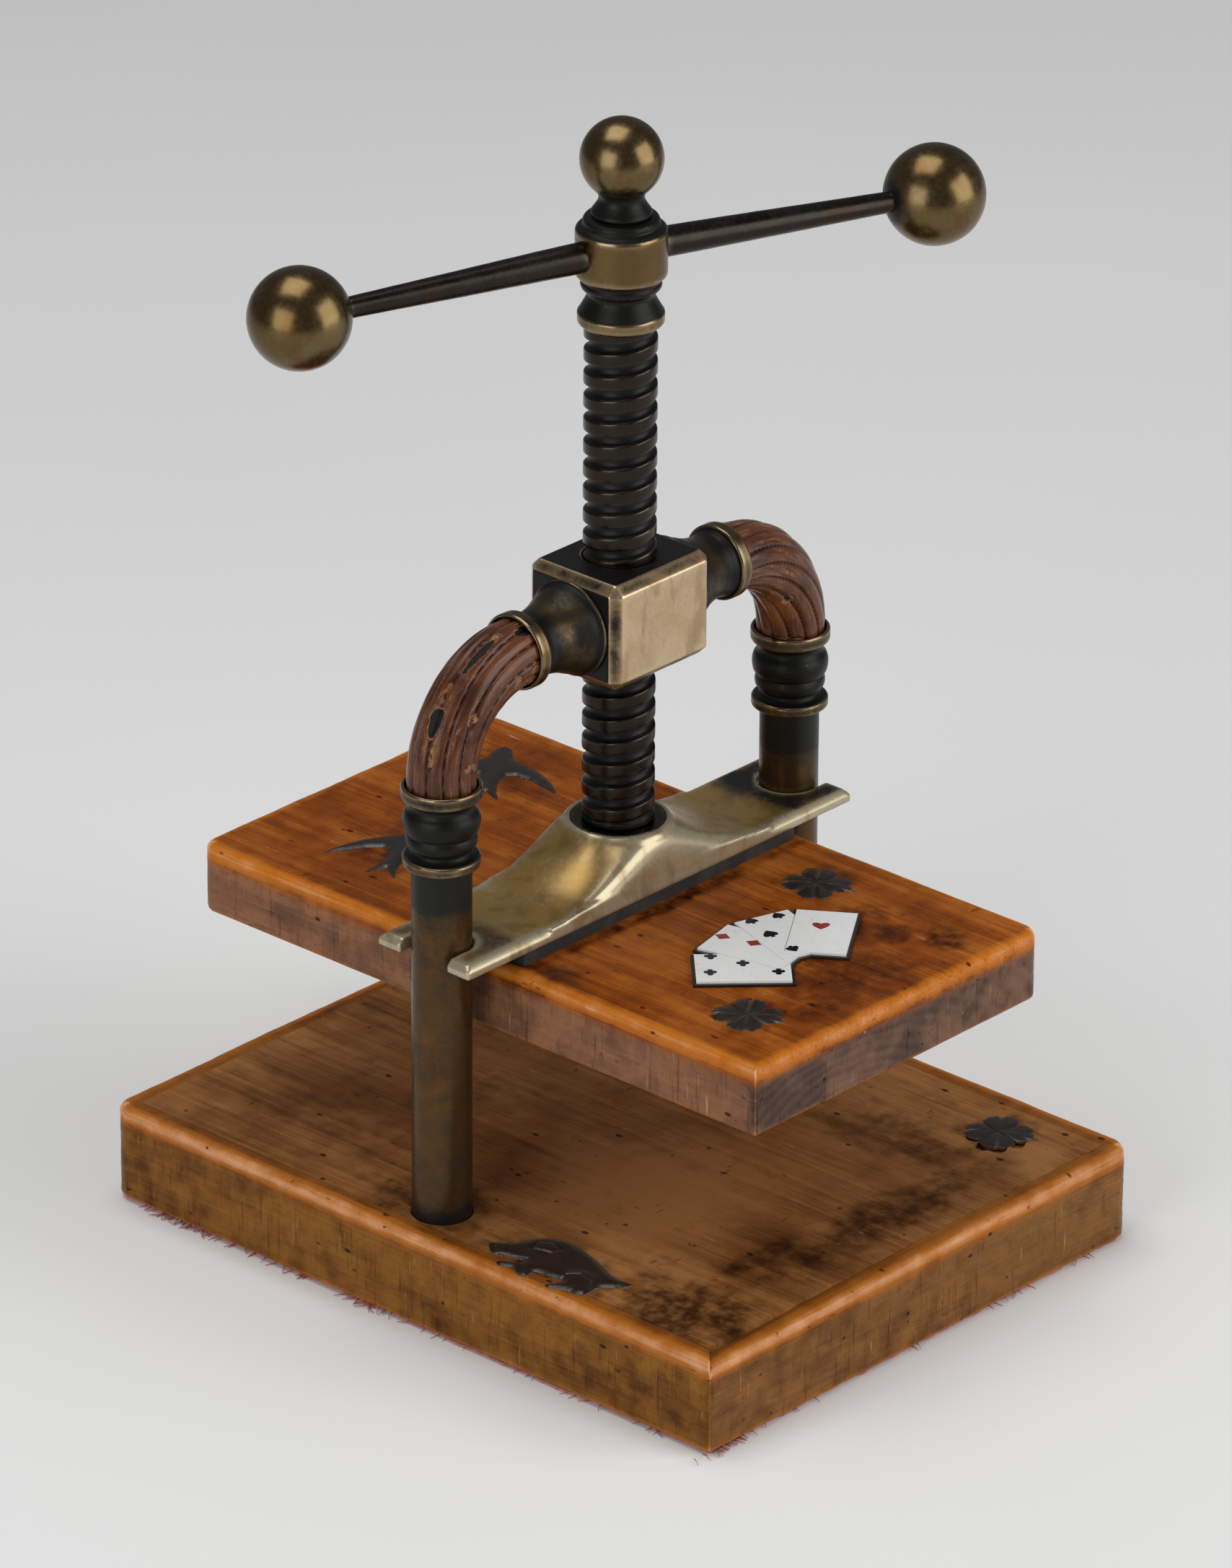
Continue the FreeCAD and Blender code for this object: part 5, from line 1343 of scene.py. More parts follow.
    def sleeve_surface(self) -> Surface:
        """Carved wooden sleeve: reeds that run round the bend, with chips.

        The radius is the outside less a groove term that is 1 on the lines between reeds
        and falls off quickly beside them, less the chip depth.
        """
        rows, columns = 210, 216
        turn = circle(columns)
        start, end = self.floor_z + 0.15, self.x - self.bend - 1.55
        along, _, _ = self.path(start, end, rows)
        lean = turn[None] + (0.008 if self.side < 0 else 0.020) * along[:, None] * self.side
        lobe = np.abs(np.cos(lean * self.reeds / 2 + 0.3))
        groove = np.clip(1 - lobe * 2.3, 0, 1) ** 1.3
        chip = self.chips(along[:, None], turn[None])
        waver = 0.09 * wavy(turn[None] * 2, along[:, None] * 0.25, 61 + self.side, 6)
        radius = self.sleeve - 0.75 + 0.62 * lobe ** 0.55 - 0.35 * groove + waver \
            - 0.65 * chip * (chip > 0.3) - 0.25 * (chip > 0.7)
        end_soft = 0.5 * np.exp(-along / 0.6) + 0.5 * np.exp(-(along[-1] - along) / 0.6)
        radius = np.minimum(radius - end_soft[:, None], self.sleeve)
        points = self.tube(start, end, radius, turn)
        skin = Surface.grid(points, wrap_columns=True)
        skin.with_trait("chip", chip)
        skin.with_trait("groove", groove)
        near, angle, share = (15.0, -2.85, 1.0) if self.side > 0 else (44.0, -1.0, 0.35)
        glow = np.exp(-((along[:, None] - near) / 9.0) ** 2 - ((turn[None] % math.tau
                      - angle % math.tau) / 0.55) ** 2)
        skin.with_trait("glow", share * glow)
        flow = np.stack([radius * np.cos(turn), radius * np.sin(turn),
                         np.broadcast_to(along[:, None] * 0.12, radius.shape)], -1)
        skin.with_trait("flow", flow)
        return self.closed(skin, points)

    def closed(self, skin: Surface, points: Array) -> Surface:
        """The skin of a tube with both ends closed and its faces outwards."""
        rows, columns = points.shape[:2]
        ring = np.arange(columns)
        skin = skin.capped(ring, points[0].mean(0), outward=False)
        skin = skin.capped(ring + (rows - 1) * columns, points[-1].mean(0))
        return skin if self.side > 0 else skin.flipped()

    def core_surface(self) -> Surface:
        """Metal core through cup, sleeve and boss."""
        radius = np.full((90, 64), 6.55)
        points = self.tube(self.floor_z + 0.1, 20.4, radius, circle(64))
        skin = Surface.grid(points, wrap_columns=True)
        skin.with_trait("ridge", np.zeros(radius.shape))
        return self.closed(skin, points)

    def boss(self) -> Surface:
        """Turned boss on the nut block, lying along X."""
        corners = [(0, 13.5), (6, 13.5), (6, 18.9), (12.4, 18.9), (13.2, 19.1, 0.3),
                   (13.2, 19.9, 0.3), (12.6, 20.3, 0.3), (12.3, 20.9, 0.3), (11.9, 22.2, 0.6),
                   (11.1, 24.2, 1.0), (10.0, 26.8, 1.4), (9.2, 29.8, 1.4), (8.8, 32.8, 1.4),
                   (8.8, 34.8, 0.9), (9.2, 36.0, 0.5), (9.35, 36.9, 0.3), (10.1, 37.1, 0.3),
                   (10.5, 37.5, 0.3), (10.5, 40.4, 0.4), (10.2, 40.95, 0.3), (9.75, 41.0, 0.2),
                   (9.6, 39.3, 0.2), (6.7, 39.3), (6.7, 20.4), (0, 20.4)]
        crust = [(18.9, 0.8), (22, 0.6), (29, 0.45), (36.4, 0.8), (37.2, 0.5), (40.4, 0.4),
                 (41.0, 0.7)]
        turned = Turned(corners, 144, 0.02, 31 + self.side, 0.45, crust).surface()
        return turned.placed(turn_to((self.side, 0, 0)), (0, 0, self.nut_z))

    def build(self, shop: Workshop) -> None:
        """Make the column's pieces."""
        shift = (self.x * self.side, 0, 0)
        still = np.eye(3)
        word = self.word
        shop.piece(f"shaft_{word}", self.shaft().placed(still, shift), "frame",
                   "column_brass", [f"column_{word}"])
        shop.piece(f"collar_{word}", self.collar().placed(still, shift), "frame",
                   "aged_brass", [f"column_collar_{word}"])
        shop.piece(f"sleeve_{word}", self.sleeve_surface(), "frame", "chipped_paint",
                   [f"elbow_sleeve_{word}"], crease=50.0)
        shop.piece(f"core_{word}", self.core_surface(), "frame", "dark_bronze",
                   [f"elbow_core_{word}"])
        shop.piece(f"boss_{word}", self.boss(), "frame", "aged_brass", [f"nut_boss_{word}"])


@dataclass
class Yoke:
    """Both columns with their elbows, and the nut block between them."""

    left: Column = field(default_factory=lambda: Column(-1, "left"))
    right: Column = field(default_factory=lambda: Column(1, "right"))

    @staticmethod
    def nut_weather(points: Array, normals: Array) -> tuple[Array, Array]:
        """Patina and shine of the nut: black on every face but the front and the bevels.

        It goes by the normals alone; the points are there for the call's sake.
        """
        face = np.abs(normals).max(1) > 0.96
        front = normals[:, 1] < -0.9
        return np.where(face & ~front, 1.2, np.where(front, 0.0, 0.45)), \
            np.where(front, 0.2, -0.55)

    def build(self, shop: Workshop) -> None:
        """Make the columns and the nut block."""
        self.left.build(shop)
        self.right.build(shop)
        shop.worn_copy("nut_body", ["nut_block"], "frame", "polished_brass", 0.36, 2,
                       weather=self.nut_weather)
        for node in ("column_nuts", "column_washers"):
            shop.dress_node(node, "dark_steel")


# Screw, head and handle


@dataclass
class Spindle:
    """Square-thread screw with its turned head, finial and handle."""

    crest: float = 9.7
    depth: float = 1.5
    pitch: float = 6.5
    thread_z: float = 121.1
    shaft_top: float = 260.5
    handle_z: float = 280.9
    handle_turn: float = -19.9
    droop: float = 1.1
    reach: float = 92.5
    ball: float = 13.6

    def thread(self) -> Surface:
        """Threaded shaft.

        The rows of the grid follow the helix: row k at angle a lies at the start height
        plus pitch (k's turn + k's share + a over a full turn). Its radius goes crest, flank,
        root, flank by the share. Heights are held inside the shaft's ends.

        Returns:
            The thread's surface, closed at both ends.
        """
        level = np.array([0.0, 0.03, 0.06, 0.10, 0.14, 0.25, 0.36, 0.47, 0.49, 0.508, 0.53,
                          0.62, 0.76, 0.90, 0.97])
        cut = np.array([0.0, 0.12, 0.35, 0.62, 0.80, 1.0, 1.02, 1.0, 0.5, 0.0, 0.0, 0.0, 0.0,
                        0.0, 0.0])
        rim = np.array([0.05, 0, 0, 0, 0, 0, 0, 0, 0, 0.08, 0.02, 0, 0, 0, 0.02])
        turns = int(math.ceil((self.shaft_top - self.thread_z) / self.pitch)) + 2
        per_turn = len(level)
        row = np.arange(turns * per_turn)
        whole = row // per_turn - 1 + level[row % per_turn]
        angle = circle(96)
        height = self.thread_z + self.pitch * (whole[:, None] + angle[None] / math.tau)
        row_cut = cut[row % per_turn][:, None]
        row_rim = rim[row % per_turn][:, None]
        low, high = self.thread_z - 1.5, self.shaft_top
        fade = np.clip((height - self.thread_z + 0.2) / 1.6, 0, 1)
        radius = self.crest - row_rim - self.depth * row_cut * fade
        nicks = np.clip(wavy(angle[None] * 5, height * 1.3, 78, 7) - 0.8, 0, 1) * (row_cut < 0.5)
        radius = radius + 0.03 * wavy(angle[None], height * 0.21, 77, 7) - 0.05 * nicks
        held = np.clip(height, low, high)
        radius = np.where(height < low, self.crest - 0.05, radius)
        points = np.stack([radius * np.cos(angle), radius * np.sin(angle), held], -1)
        skin = Surface.grid(points, wrap_columns=True, shift=per_turn)
        # Warm worn crests on one side at mid height, painted partly as a highlight.
        warm_wear_and_sheen = bell(height - 204.0, 12.0) * np.clip(np.cos(angle + 0.3), 0, 1)
        ridge = row_rim * 7.0 - 0.25 * row_cut + warm_wear_and_sheen * 0.7 * (row_cut < 0.5)
        skin.with_trait("ridge", np.clip(ridge, -1, 1))
        skin.with_trait("patina", 0.35 + 0.3 * row_cut + 0 * height)
        return skin

    def stub(self) -> Surface:
        """Foot, neck and shoulder of the screw, and the tenon in the head."""
        corners = [(0, 106.85), (8.0, 106.85), (9.15, 108.1, 0.4), (9.15, 115.85, 0.3),
                   (6.55, 115.85), (6.55, 119.55), (9.1, 119.55), (9.5, 119.9, 0.3),
                   (self.crest, 120.5, 0.3), (self.crest - 0.02, 121.0), (8.15, 121.1),
                   (8.15, self.shaft_top - 0.4), (6.45, self.shaft_top - 0.3), (6.45, 274.8),
                   (0, 274.8)]
        return Turned(corners, 96, 0.01, 5, 1.0, ((0, 0.7),)).surface()

    def head(self) -> Surface:
        """Turned head with barrel, waist and collar."""
        below = [(6.6, -20.4), (10.6, -20.4), (11.4, -19.7, 0.5), (11.45, -17.2, 0.4),
                 (11.0, -16.7, 0.3), (10.3, -15.4, 0.8), (9.3, -13.6, 0.8), (8.75, -12.2, 0.8),
                 (9.0, -11.2, 0.4), (10.3, -10.3, 0.4), (10.65, -9.7, 0.3), (10.65, -8.8, 0.3),
                 (10.3, -8.3, 0.3), (10.6, -7.4, 0.3), (11.6, -6.9, 0.4), (12.1, -6.3, 0.5),
                 (12.1, 5.4, 0.3), (11.9, 6.0, 0.4), (11.0, 6.9, 0.6), (10.3, 7.2, 0.2),
                 (10.1, 7.6, 0.2), (10.1, 8.4, 0.4), (9.6, 9.3, 0.5), (8.2, 9.65, 0.3),
                 (3.2, 9.65), (3.2, 4.8), (0, 4.8), (0, -5.8), (6.6, -5.8), (6.6, -20.4)]
        z = self.handle_z
        corners = [(corner[0], z + corner[1], *corner[2:]) for corner in below]
        crust = [(z - 20.4, 0.3), (z - 17.0, 0.3), (z - 16.6, 1.0), (z - 6.9, 0.9),
                 (z - 6.3, 0.15), (z + 5.4, 0.10), (z + 6.2, 0.9), (z + 10, 1.1)]
        return Turned(corners, 144, 0.02, 15, 0.4, crust).surface()

    def finial(self) -> Surface:
        """Ball finial on its bead."""
        z = self.handle_z
        ball, centre = 11.0, z + 25.2
        angle = np.linspace(-0.93, math.pi / 2, 40)
        arc = [(ball * math.cos(item), centre + ball * math.sin(item)) for item in angle]
        arc[-1] = (0.0, centre + ball)
        corners = [(0, z + 4.95), (2.95, z + 4.95), (3.0, z + 9.7), (7.6, z + 9.75),
                   (8.05, z + 10.3, 0.3), (7.9, z + 11.0, 0.4), (7.0, z + 12.2, 0.8),
                   (6.2, z + 13.6, 0.9), (5.95, z + 14.6, 0.8), (6.1, z + 15.4, 0.5)] + arc
        crust = [(z + 9.0, 1.1), (z + 15.0, 0.95), (z + 17.5, 0.45), (z + 20.0, 0.30)]
        return Turned(corners, 128, 0.02, 17, 0.6, crust).surface()

    def way(self, side: int) -> Array:
        """Unit vector along one arm."""
        turn, droop = math.radians(self.handle_turn), math.radians(self.droop)
        return np.array([side * math.cos(turn) * math.cos(droop),
                         side * math.sin(turn) * math.cos(droop), -math.sin(droop)])

    def arm(self) -> Surface:
        """Tapered arm with tenons, from the head to a ball."""
        corners = [(0, 6.55), (2.15, 6.55), (2.2, 11.0), (4.05, 11.05), (4.1, 12.0), (4.0, 20),
                   (3.62, 40), (3.2, 60), (2.82, 79.0), (2.8, 79.85), (2.2, 79.9), (2.15, 85.3),
                   (0, 85.3)]
        return Turned(corners, 72, 0.035, 19, 1.5).surface()

    def knob(self, side: int) -> Surface:
        """Ball of the handle with a small worn facet where the arm enters."""
        angle = np.linspace(-1.42, math.pi / 2, 60)
        arc = [(self.ball * math.cos(item), self.ball * math.sin(item)) for item in angle]
        arc[-1] = (0.0, self.ball)
        corners = [(0, -self.ball * 0.55), (2.3, -self.ball * 0.55), (2.3, -12.6),
                   (2.85, -12.7), (2.9, -13.25, 0.1)] + arc
        crust = [(-13.6, 0.8), (-11.5, 0.35), (0, 0.28)]
        return Turned(corners, 128, 0.03, 23 + side, 0.7, crust).surface()

    def build(self, shop: Workshop) -> None:
        """Make the screw's pieces."""
        screw = Surface.joined([self.thread(), self.stub()])
        shop.piece("spindle", screw, "screw", "dark_bronze", ["press_screw"], crease=32.0)
        shop.piece("spindle_head", self.head(), "screw", "aged_brass", ["screw_head"])
        shop.piece("finial", self.finial(), "screw", "aged_brass", ["finial_knob"])
        for side, word in ((-1, "left"), (1, "right")):
            way = self.way(side)
            turn = turn_to(way)
            root = (0, 0, self.handle_z)
            shop.piece(f"arm_{word}", self.arm().placed(turn, root), "screw", "dark_bronze",
                       [f"handle_arm_{word}"])
            spot = np.array(root) + way * self.reach
            shop.piece(f"knob_{word}", self.knob(side).placed(turn, spot), "screw",
                       "aged_brass", [f"handle_ball_{word}"])


# Pressing board with the bridge


@dataclass
class Relief:
    """Inlaid figure: domed dark plate with engraved lines and raised lumps."""

    node: str
    body: str
    top: float
    lines: tuple[tuple[tuple[float, float], ...], ...] = ()
    lumps: tuple[tuple[float, float, float, float, float], ...] = ()
    dome: float = 0.75

    def carve(self, thing: bpy.types.Object) -> None:
        """Raise the top of the worn copy by its relief.

        Each top vertex rises with its distance from the outline, up to the dome's height;
        an engraved line sinks a narrow bell-shaped groove and a lump adds a wide bell.
        """
        mesh = thing.data
        points = values_of(mesh, "co") / MM
        high = points[:, 2] > self.top
        rim = points[(points[:, 2] < self.top - 0.2) & (points[:, 2] > self.top - 0.9)][:, :2]
        flat = points[high][:, :2]
        far = np.full(len(flat), 9.0)
        for start in range(0, len(rim), 400):
            gap = np.linalg.norm(flat[:, None] - rim[None, start:start + 400], axis=-1)
            far = np.minimum(far, gap.min(1))
        rise = self.dome * (1 - np.exp(-(far / 1.1) ** 1.5)) - self.dome * 0.55
        cut = np.zeros(len(flat))
        for line in self.lines:
            spots = np.array(line)
            for first, last in zip(spots[:-1], spots[1:]):
                run = last - first
                share = np.clip(((flat - first) @ run) / (run @ run), 0, 1)[:, None]
                gap = np.linalg.norm(flat - first - run * share, axis=1)
                cut = np.maximum(cut, bell(gap, 0.32))
        for x, y, wide, tall, height in self.lumps:
            gap = ((flat[:, 0] - x) / wide) ** 2 + ((flat[:, 1] - y) / tall) ** 2
            rise += height * bell(gap)
        points[high, 2] += rise - 0.42 * cut
        mesh.vertices.foreach_set("co", (points * MM).ravel())
        mesh.update()
        # Ridge values near the outline and on the engraved lines: a painted highlight there.
        value = np.zeros(len(points))
        value[high] = np.clip(1.0 - far / 0.7, 0, 1) * 0.5 + cut * 0.35
        mesh.attributes["ridge"].data.foreach_set("value", value)
        mesh.set_sharp_from_angle(angle=math.radians(60))

    def build(self, shop: Workshop) -> None:
        """Make the figure from its CAD node."""
        thing = shop.worn_copy(f"{self.node}_relief", [self.node], self.body, "dark_inlay",
                               0.26, 2)
        self.carve(thing)


@dataclass
class Clover:
    """Inlaid four-leaf clover with domed leaves, veins and a stem."""

    node: str
    body: str
    x: float
    y: float
    top: float
    turn: float = -9.0
    reach: float = 9.7

    def surface(self) -> Surface:
        """Clover over a polar grid.

        The radius follows a cosine over each of the four leaves, with a small notch at the
        mid vein and a narrow spur for the stem. The height falls from the dome to the rim
        and is lower on the veins, between the leaves and at the middle.
        """
        angle = circle(320)
        leaf = (angle * 2 / math.pi) % 1 - 0.5
        round_leaf = np.cos(leaf * math.pi)
        radius = self.reach * (0.64 + 0.36 * round_leaf ** 0.6
                               - 0.11 * bell(leaf, 0.07)
                               + 0.025 * np.sin(angle * 23) * round_leaf)
        stem = math.radians(286 - self.turn)
        radius += 3.0 * bell(angle - stem, 0.05)
        share = np.array([0.03, 0.1, 0.2, 0.32, 0.45, 0.58, 0.7, 0.8, 0.88, 0.94, 0.98, 1.0])
        far = share[:, None] * radius
        vein = bell(leaf * far, 0.32)
        between = bell((0.5 - np.abs(leaf)) * far, 0.38)
        rise = 0.50 * (1 - share[:, None] ** 5) * (0.5 + 0.5 * round_leaf ** 0.5) \
            - 0.16 * vein - 0.20 * between
        side = angle + math.radians(self.turn)
        x = self.x + far * np.cos(side)
        y = self.y + far * np.sin(side)
        points = np.stack([x, y, self.top + 0.02 + rise], -1)
        skirt = points[-1:].copy()
        skirt[..., 2] = self.top - 0.8
        skin = Surface.grid(np.concatenate([points, skirt])[::-1], wrap_columns=True)
        # Ridge values: a painted highlight on the rims and veins, less of it between the leaves.
        rim = np.exp(-(1 - share[:, None]) / 0.06) * 0.55 + 0.35 * vein - 0.4 * between
        skin.with_trait("ridge", np.concatenate([rim, rim[-1:]])[::-1].copy())
        ring = np.arange(len(angle))
        skin = skin.capped(ring, np.array([self.x, self.y, self.top - 0.8]), outward=False)
        return skin.capped(ring + len(angle) * len(share),
                           np.array([self.x, self.y, self.top + 0.25]))

    def build(self, shop: Workshop) -> None:
        """Make the clover in place of its CAD node."""
        shop.piece(f"{self.node}_relief", self.surface(), self.body, "dark_inlay",
                   [self.node], crease=60.0)


@dataclass
class Pip:
    """One painted pip on a card."""

    suit: Suit
    x: float
    y: float
    size: float
    turn: float

    def outline(self) -> Array:
        """Outline of the pip round its middle, for a size of 1.

        A diamond has four hollow sides. A heart is two lobes over a point. A spade is a
        heart turned over with a stem. A club is three discs and a stem, taken as the
        farthest crossing of each ray with any of them.
        """
        angle = circle(72)
        if self.suit is Suit.DIAMONDS:
            ray = 0.5 / (np.abs(np.cos(angle)) ** 0.86 * 1.25 + np.abs(np.sin(angle)) ** 0.86)
            return np.stack([ray * np.cos(angle), ray * np.sin(angle)], -1)
        if self.suit in (Suit.HEART, Suit.SPADES):
            x = 0.50 * np.sin(angle) ** 3
            y = 0.41 * np.cos(angle) - 0.16 * np.cos(2 * angle) - 0.065 * np.cos(3 * angle)
            heart = np.stack([x, y + 0.05], -1)
            if self.suit is Suit.HEART:
                return heart
            spade = heart * np.array([1.0, -1.0]) + np.array([0.0, 0.06])
            return self.with_stem(spade)
        discs = ((0.0, 0.24, 0.21), (-0.25, -0.08, 0.21), (0.25, -0.08, 0.21))
        ray = np.full(len(angle), 0.06)
        for x, y, radius in discs:
            ahead = x * np.cos(angle) + y * np.sin(angle)
            under = radius ** 2 - (x * x + y * y) + ahead ** 2
            reach = np.where((under > 0) & (ahead > 0), ahead + np.sqrt(np.maximum(under, 0)), 0)
            ray = np.maximum(ray, reach)
        return self.with_stem(np.stack([ray * np.cos(angle), ray * np.sin(angle)], -1))

    @staticmethod
    def with_stem(outline: Array) -> Array:
        """The outline with the points below its middle drawn down into a flared stem."""
        x, y = outline[:, 0].copy(), outline[:, 1].copy()
        stem = (np.abs(x) < 0.12) & (y < 0.02)
        y = np.where(stem, -0.5, y)
        x = np.where(stem, x * 1.5, x)
        return np.stack([x, y], -1)

    def surface(self, height: float) -> Surface:
        """Thin painted plate."""
        flat = self.outline() * self.size
        turn = math.radians(self.turn)
        spin = np.array([[math.cos(turn), -math.sin(turn)], [math.sin(turn), math.cos(turn)]])
        flat = flat @ spin.T + np.array([self.x, self.y])
        rings = [np.concatenate([flat, np.full((len(flat), 1), level)], -1)
                 for level in (height - 0.03, height + 0.035)]
        skin = Surface.grid(np.stack(rings), wrap_columns=True)
        ring = np.arange(len(flat)) + len(flat)
        middle = np.array([flat[:, 0].mean(), flat[:, 1].mean(), height + 0.035])
        return skin.capped(ring, middle).with_trait(
            "ridge", np.zeros(len(flat) * 2 + 1))


@dataclass
class Cards:
    """Fan of four enamel cards with their pips."""

    top: float = CARD_TOP

    def pips(self) -> list[Pip]:
        """The pips that show, with their places on the board."""
        return [
            Pip(Suit.CLUBS, -17.6, -48.9, 3.8, 134.0), Pip(Suit.CLUBS, -24.7, -55.2, 3.8, 134.0),
            Pip(Suit.CLUBS, -14.9, -57.8, 3.8, 134.0), Pip(Suit.CLUBS, -12.2, -67.9, 3.8, 134.0),
            Pip(Suit.DIAMONDS, -6.5, -43.2, 4.8, 14.0), Pip(Suit.DIAMONDS, -3.9, -51.8, 4.8, 14.0),
            Pip(Suit.SPADES, 5.5, -42.4, 3.6, -18.0), Pip(Suit.SPADES, 12.8, -45.4, 3.6, -18.0),
            Pip(Suit.SPADES, 3.1, -51.2, 4.2, -18.0), Pip(Suit.SPADES, 0.6, -61.5, 3.6, 162.0),
            Pip(Suit.HEART, 15.8, -57.9, 4.7, -50.0),
        ]

    def build(self, shop: Workshop) -> None:
        """Make the pips and dress the cards."""
        for suit in Suit:
            parts = [pip.surface(self.top) for pip in self.pips() if pip.suit is suit]
            red = suit in (Suit.DIAMONDS, Suit.HEART)
            shop.piece(f"pips_{suit.value}", Surface.joined(parts), "platen",
                       "red_pip" if red else "black_pip")
            shop.dress_node(f"enamel_card_{suit.value}", "white_enamel")
        shop.dress_node("card_plate", "dark_inlay")


@dataclass
class Platen:
    """Pressing board with its inlays, and the bridge that carries it."""

    half_width: float = 56.65
    half_length: float = 99.7
    low: float = 79.5
    top: float = BOARD_TOP
    edge: float = 5.0
    corner: float = 5.0

    def board(self) -> Surface:
        """Board with rounded, dented edges.

        A closed loop round the board carries a section of inset and height; the top and
        the underside are flat fans.
        """
        round_base = Base(left=-self.half_width, right=self.half_width,
                          half_length=self.half_length, low=self.low, top=self.top)
        edge = self.edge
        section = soft_outline([(9.0, self.top), (edge, self.top, 0.5),
                                (0.0, self.top, edge * 1.7), (0.0, self.top - edge * 2, 1.0),
                                (0.0, self.low, 1.6), (3.0, self.low)], spacing=1.0,
                               arc_points=11)
        run = np.concatenate([side_run(120)[:-1] + side for side in range(4)])
        flat = round_base.ring(section[:, 0], (1.2,) + (self.corner,) * 3, run)
        height = np.broadcast_to(section[:, 1], flat.shape[:2]).copy()
        outer = bell(section[:, 0], 2.5)[None]
        along = run[:, None] * math.pi / 2
        level = section[None, :, 1]
        dent = 0.14 * wavy(along * 8, level * 0.3, 3, 7) \
            + 0.06 * wavy(along * 36, level, 4, 6)
        bulge = (dent - 0.18) * outer
        flat = flat + unit(flat) * bulge[..., None]
        height += np.minimum(bulge, 0) * 0.5 * (height > self.top - edge) \
            * (section[None, :, 0] < edge)
        points = np.concatenate([flat, height[..., None]], -1)
        skin = Surface.grid(points, wrap_rows=True)
        # Ridge values for the rounding, the foot and the corners: pale wear with a painted
        # highlight on the rounding, painted highlight lines on the corners.
        turn = bell(section[:, 1] - (self.top - 1.8), 2.4) * bell(section[:, 0] - 1.3, 2.4)
        foot = 0.5 * bell(section[:, 1] - self.low, 1.5)
        ridge = np.broadcast_to((turn * 0.85 + foot * 0.8)[None], flat.shape[:2]).copy()
        place = run - np.floor(run)
        corner = np.exp(-np.minimum(place, 1 - place) / 0.03)[:, None]
        skin.with_trait("ridge", np.clip(ridge + corner * (section[None, :, 0] < 3) * 0.45, 0, 1))
        flank = np.clip((self.top - edge * 0.8 - section[None, :, 1]) / 2.5, 0, 1)
        ends = np.abs(flat[..., 1]) > self.half_length - 2.5
        skin.with_trait("flank", flank * np.ones((len(run), 1)))
        skin.with_trait("butt", flank * ends)
        count = section.shape[0]
        ring = np.arange(len(run)) * count
        skin = skin.capped(ring, np.array([0, 0, self.top]), outward=True)
        skin = skin.capped(ring + count - 1, np.array([0, 0, self.low]), outward=False)
        return skin

    def figures(self) -> list[Relief]:
        """The inlaid figures with their engraving."""
        return [
            Relief("swallow_inlay_right", "platen", BOARD_TOP),
            Relief("swallow_inlay_left", "platen", BOARD_TOP),
            Relief("pig_inlay", "frame", BASE_TOP,
                   (((-68.5, -32.2), (-64.4, -31.6), (-62.6, -35.2), (-63.8, -38.9),
                     (-66.9, -38.0), (-68.5, -32.2)),
                    ((-76.0, -28.0), (-75.0, -31.5), (-73.0, -35.5)),
                    ((-76.7, -49.5), (-73.0, -49.0), (-70.5, -52.0), (-71.5, -56.5),
                     (-74.5, -58.5)),
                    ((-73.8, -24.6), (-74.6, -26.2))),
                   ((-65.5, -35.0, 2.6, 3.4, 0.25), (-72.5, -53.5, 3.6, 4.6, 0.35))),
        ]

    @staticmethod
    def bridge_melt(points: Array) -> Array:
        """Share of heavy smoothing: all of it where the hump flows into the arms."""
        high = np.clip((points[:, 2] - 107.4) / 1.5, 0, 1) * np.clip((118.6 - points[:, 2]), 0, 1)
        return high * np.clip((np.abs(points[:, 1]) - 6.5) / 3.0, 0, 1)

    @staticmethod
    def bridge_weather(points: Array, normals: Array) -> tuple[Array, Array]:
        """Patina and shine of the bridge: dark fork ends, a front slope with a painted highlight,
        and downward faces painted dark as shade.
        """
        far = np.clip((np.abs(points[:, 0]) - 47.0) / 9.0, 0, 1)
        right = np.clip((points[:, 0] - 24.0) / 22.0, 0, 1)
        # Front faces: a painted highlight, with less patina.
        front = np.clip(-normals[:, 1] * 1.6 - 0.3, 0, 1)
        # Downward faces: painted shade.
        under = np.clip(-normals[:, 2], 0, 1)
        ring = bell(np.hypot(points[:, 0], points[:, 1]) - 13.2, 1.6)
        crust = 0.10 + 0.45 * far + 0.22 * right - 0.25 * front + 0.8 * under + 0.5 * ring
        return crust, 0.35 * front

    def build(self, shop: Workshop) -> None:
        """Make the board, the bridge and what they hold."""
        shop.piece("pressing_board", self.board(), "platen", "platen_wood", ["platen_board"],
                   crease=50.0)
        shop.worn_copy("bridge_body", ["bridge"], "platen", "bridge_brass", 0.5, 10,
                       weather=self.bridge_weather, melt=self.bridge_melt)
        for figure in self.figures():
            figure.build(shop)
        for clover in (Clover("base_clover_inlay", "frame", 66.8, -77.6, BASE_TOP),
                       Clover("clover_inlay_front", "platen", -34.6, -76.9, BOARD_TOP),
                       Clover("clover_inlay_back", "platen", 36.4, -38.2, BOARD_TOP)):
            clover.build(shop)
        Cards().build(shop)
        for node, finish in (("bridge_shim", "dark_shim"), ("thrust_pad", "aged_brass"),
                             ("bridge_bolts", "dark_steel")):
            shop.dress_node(node, finish)
        for half in ("front", "back"):
            shop.worn_copy(f"keeper_{half}", [f"keeper_half_{half}"], "platen",
                           "dark_bronze", 0.25, 2)


# Studio


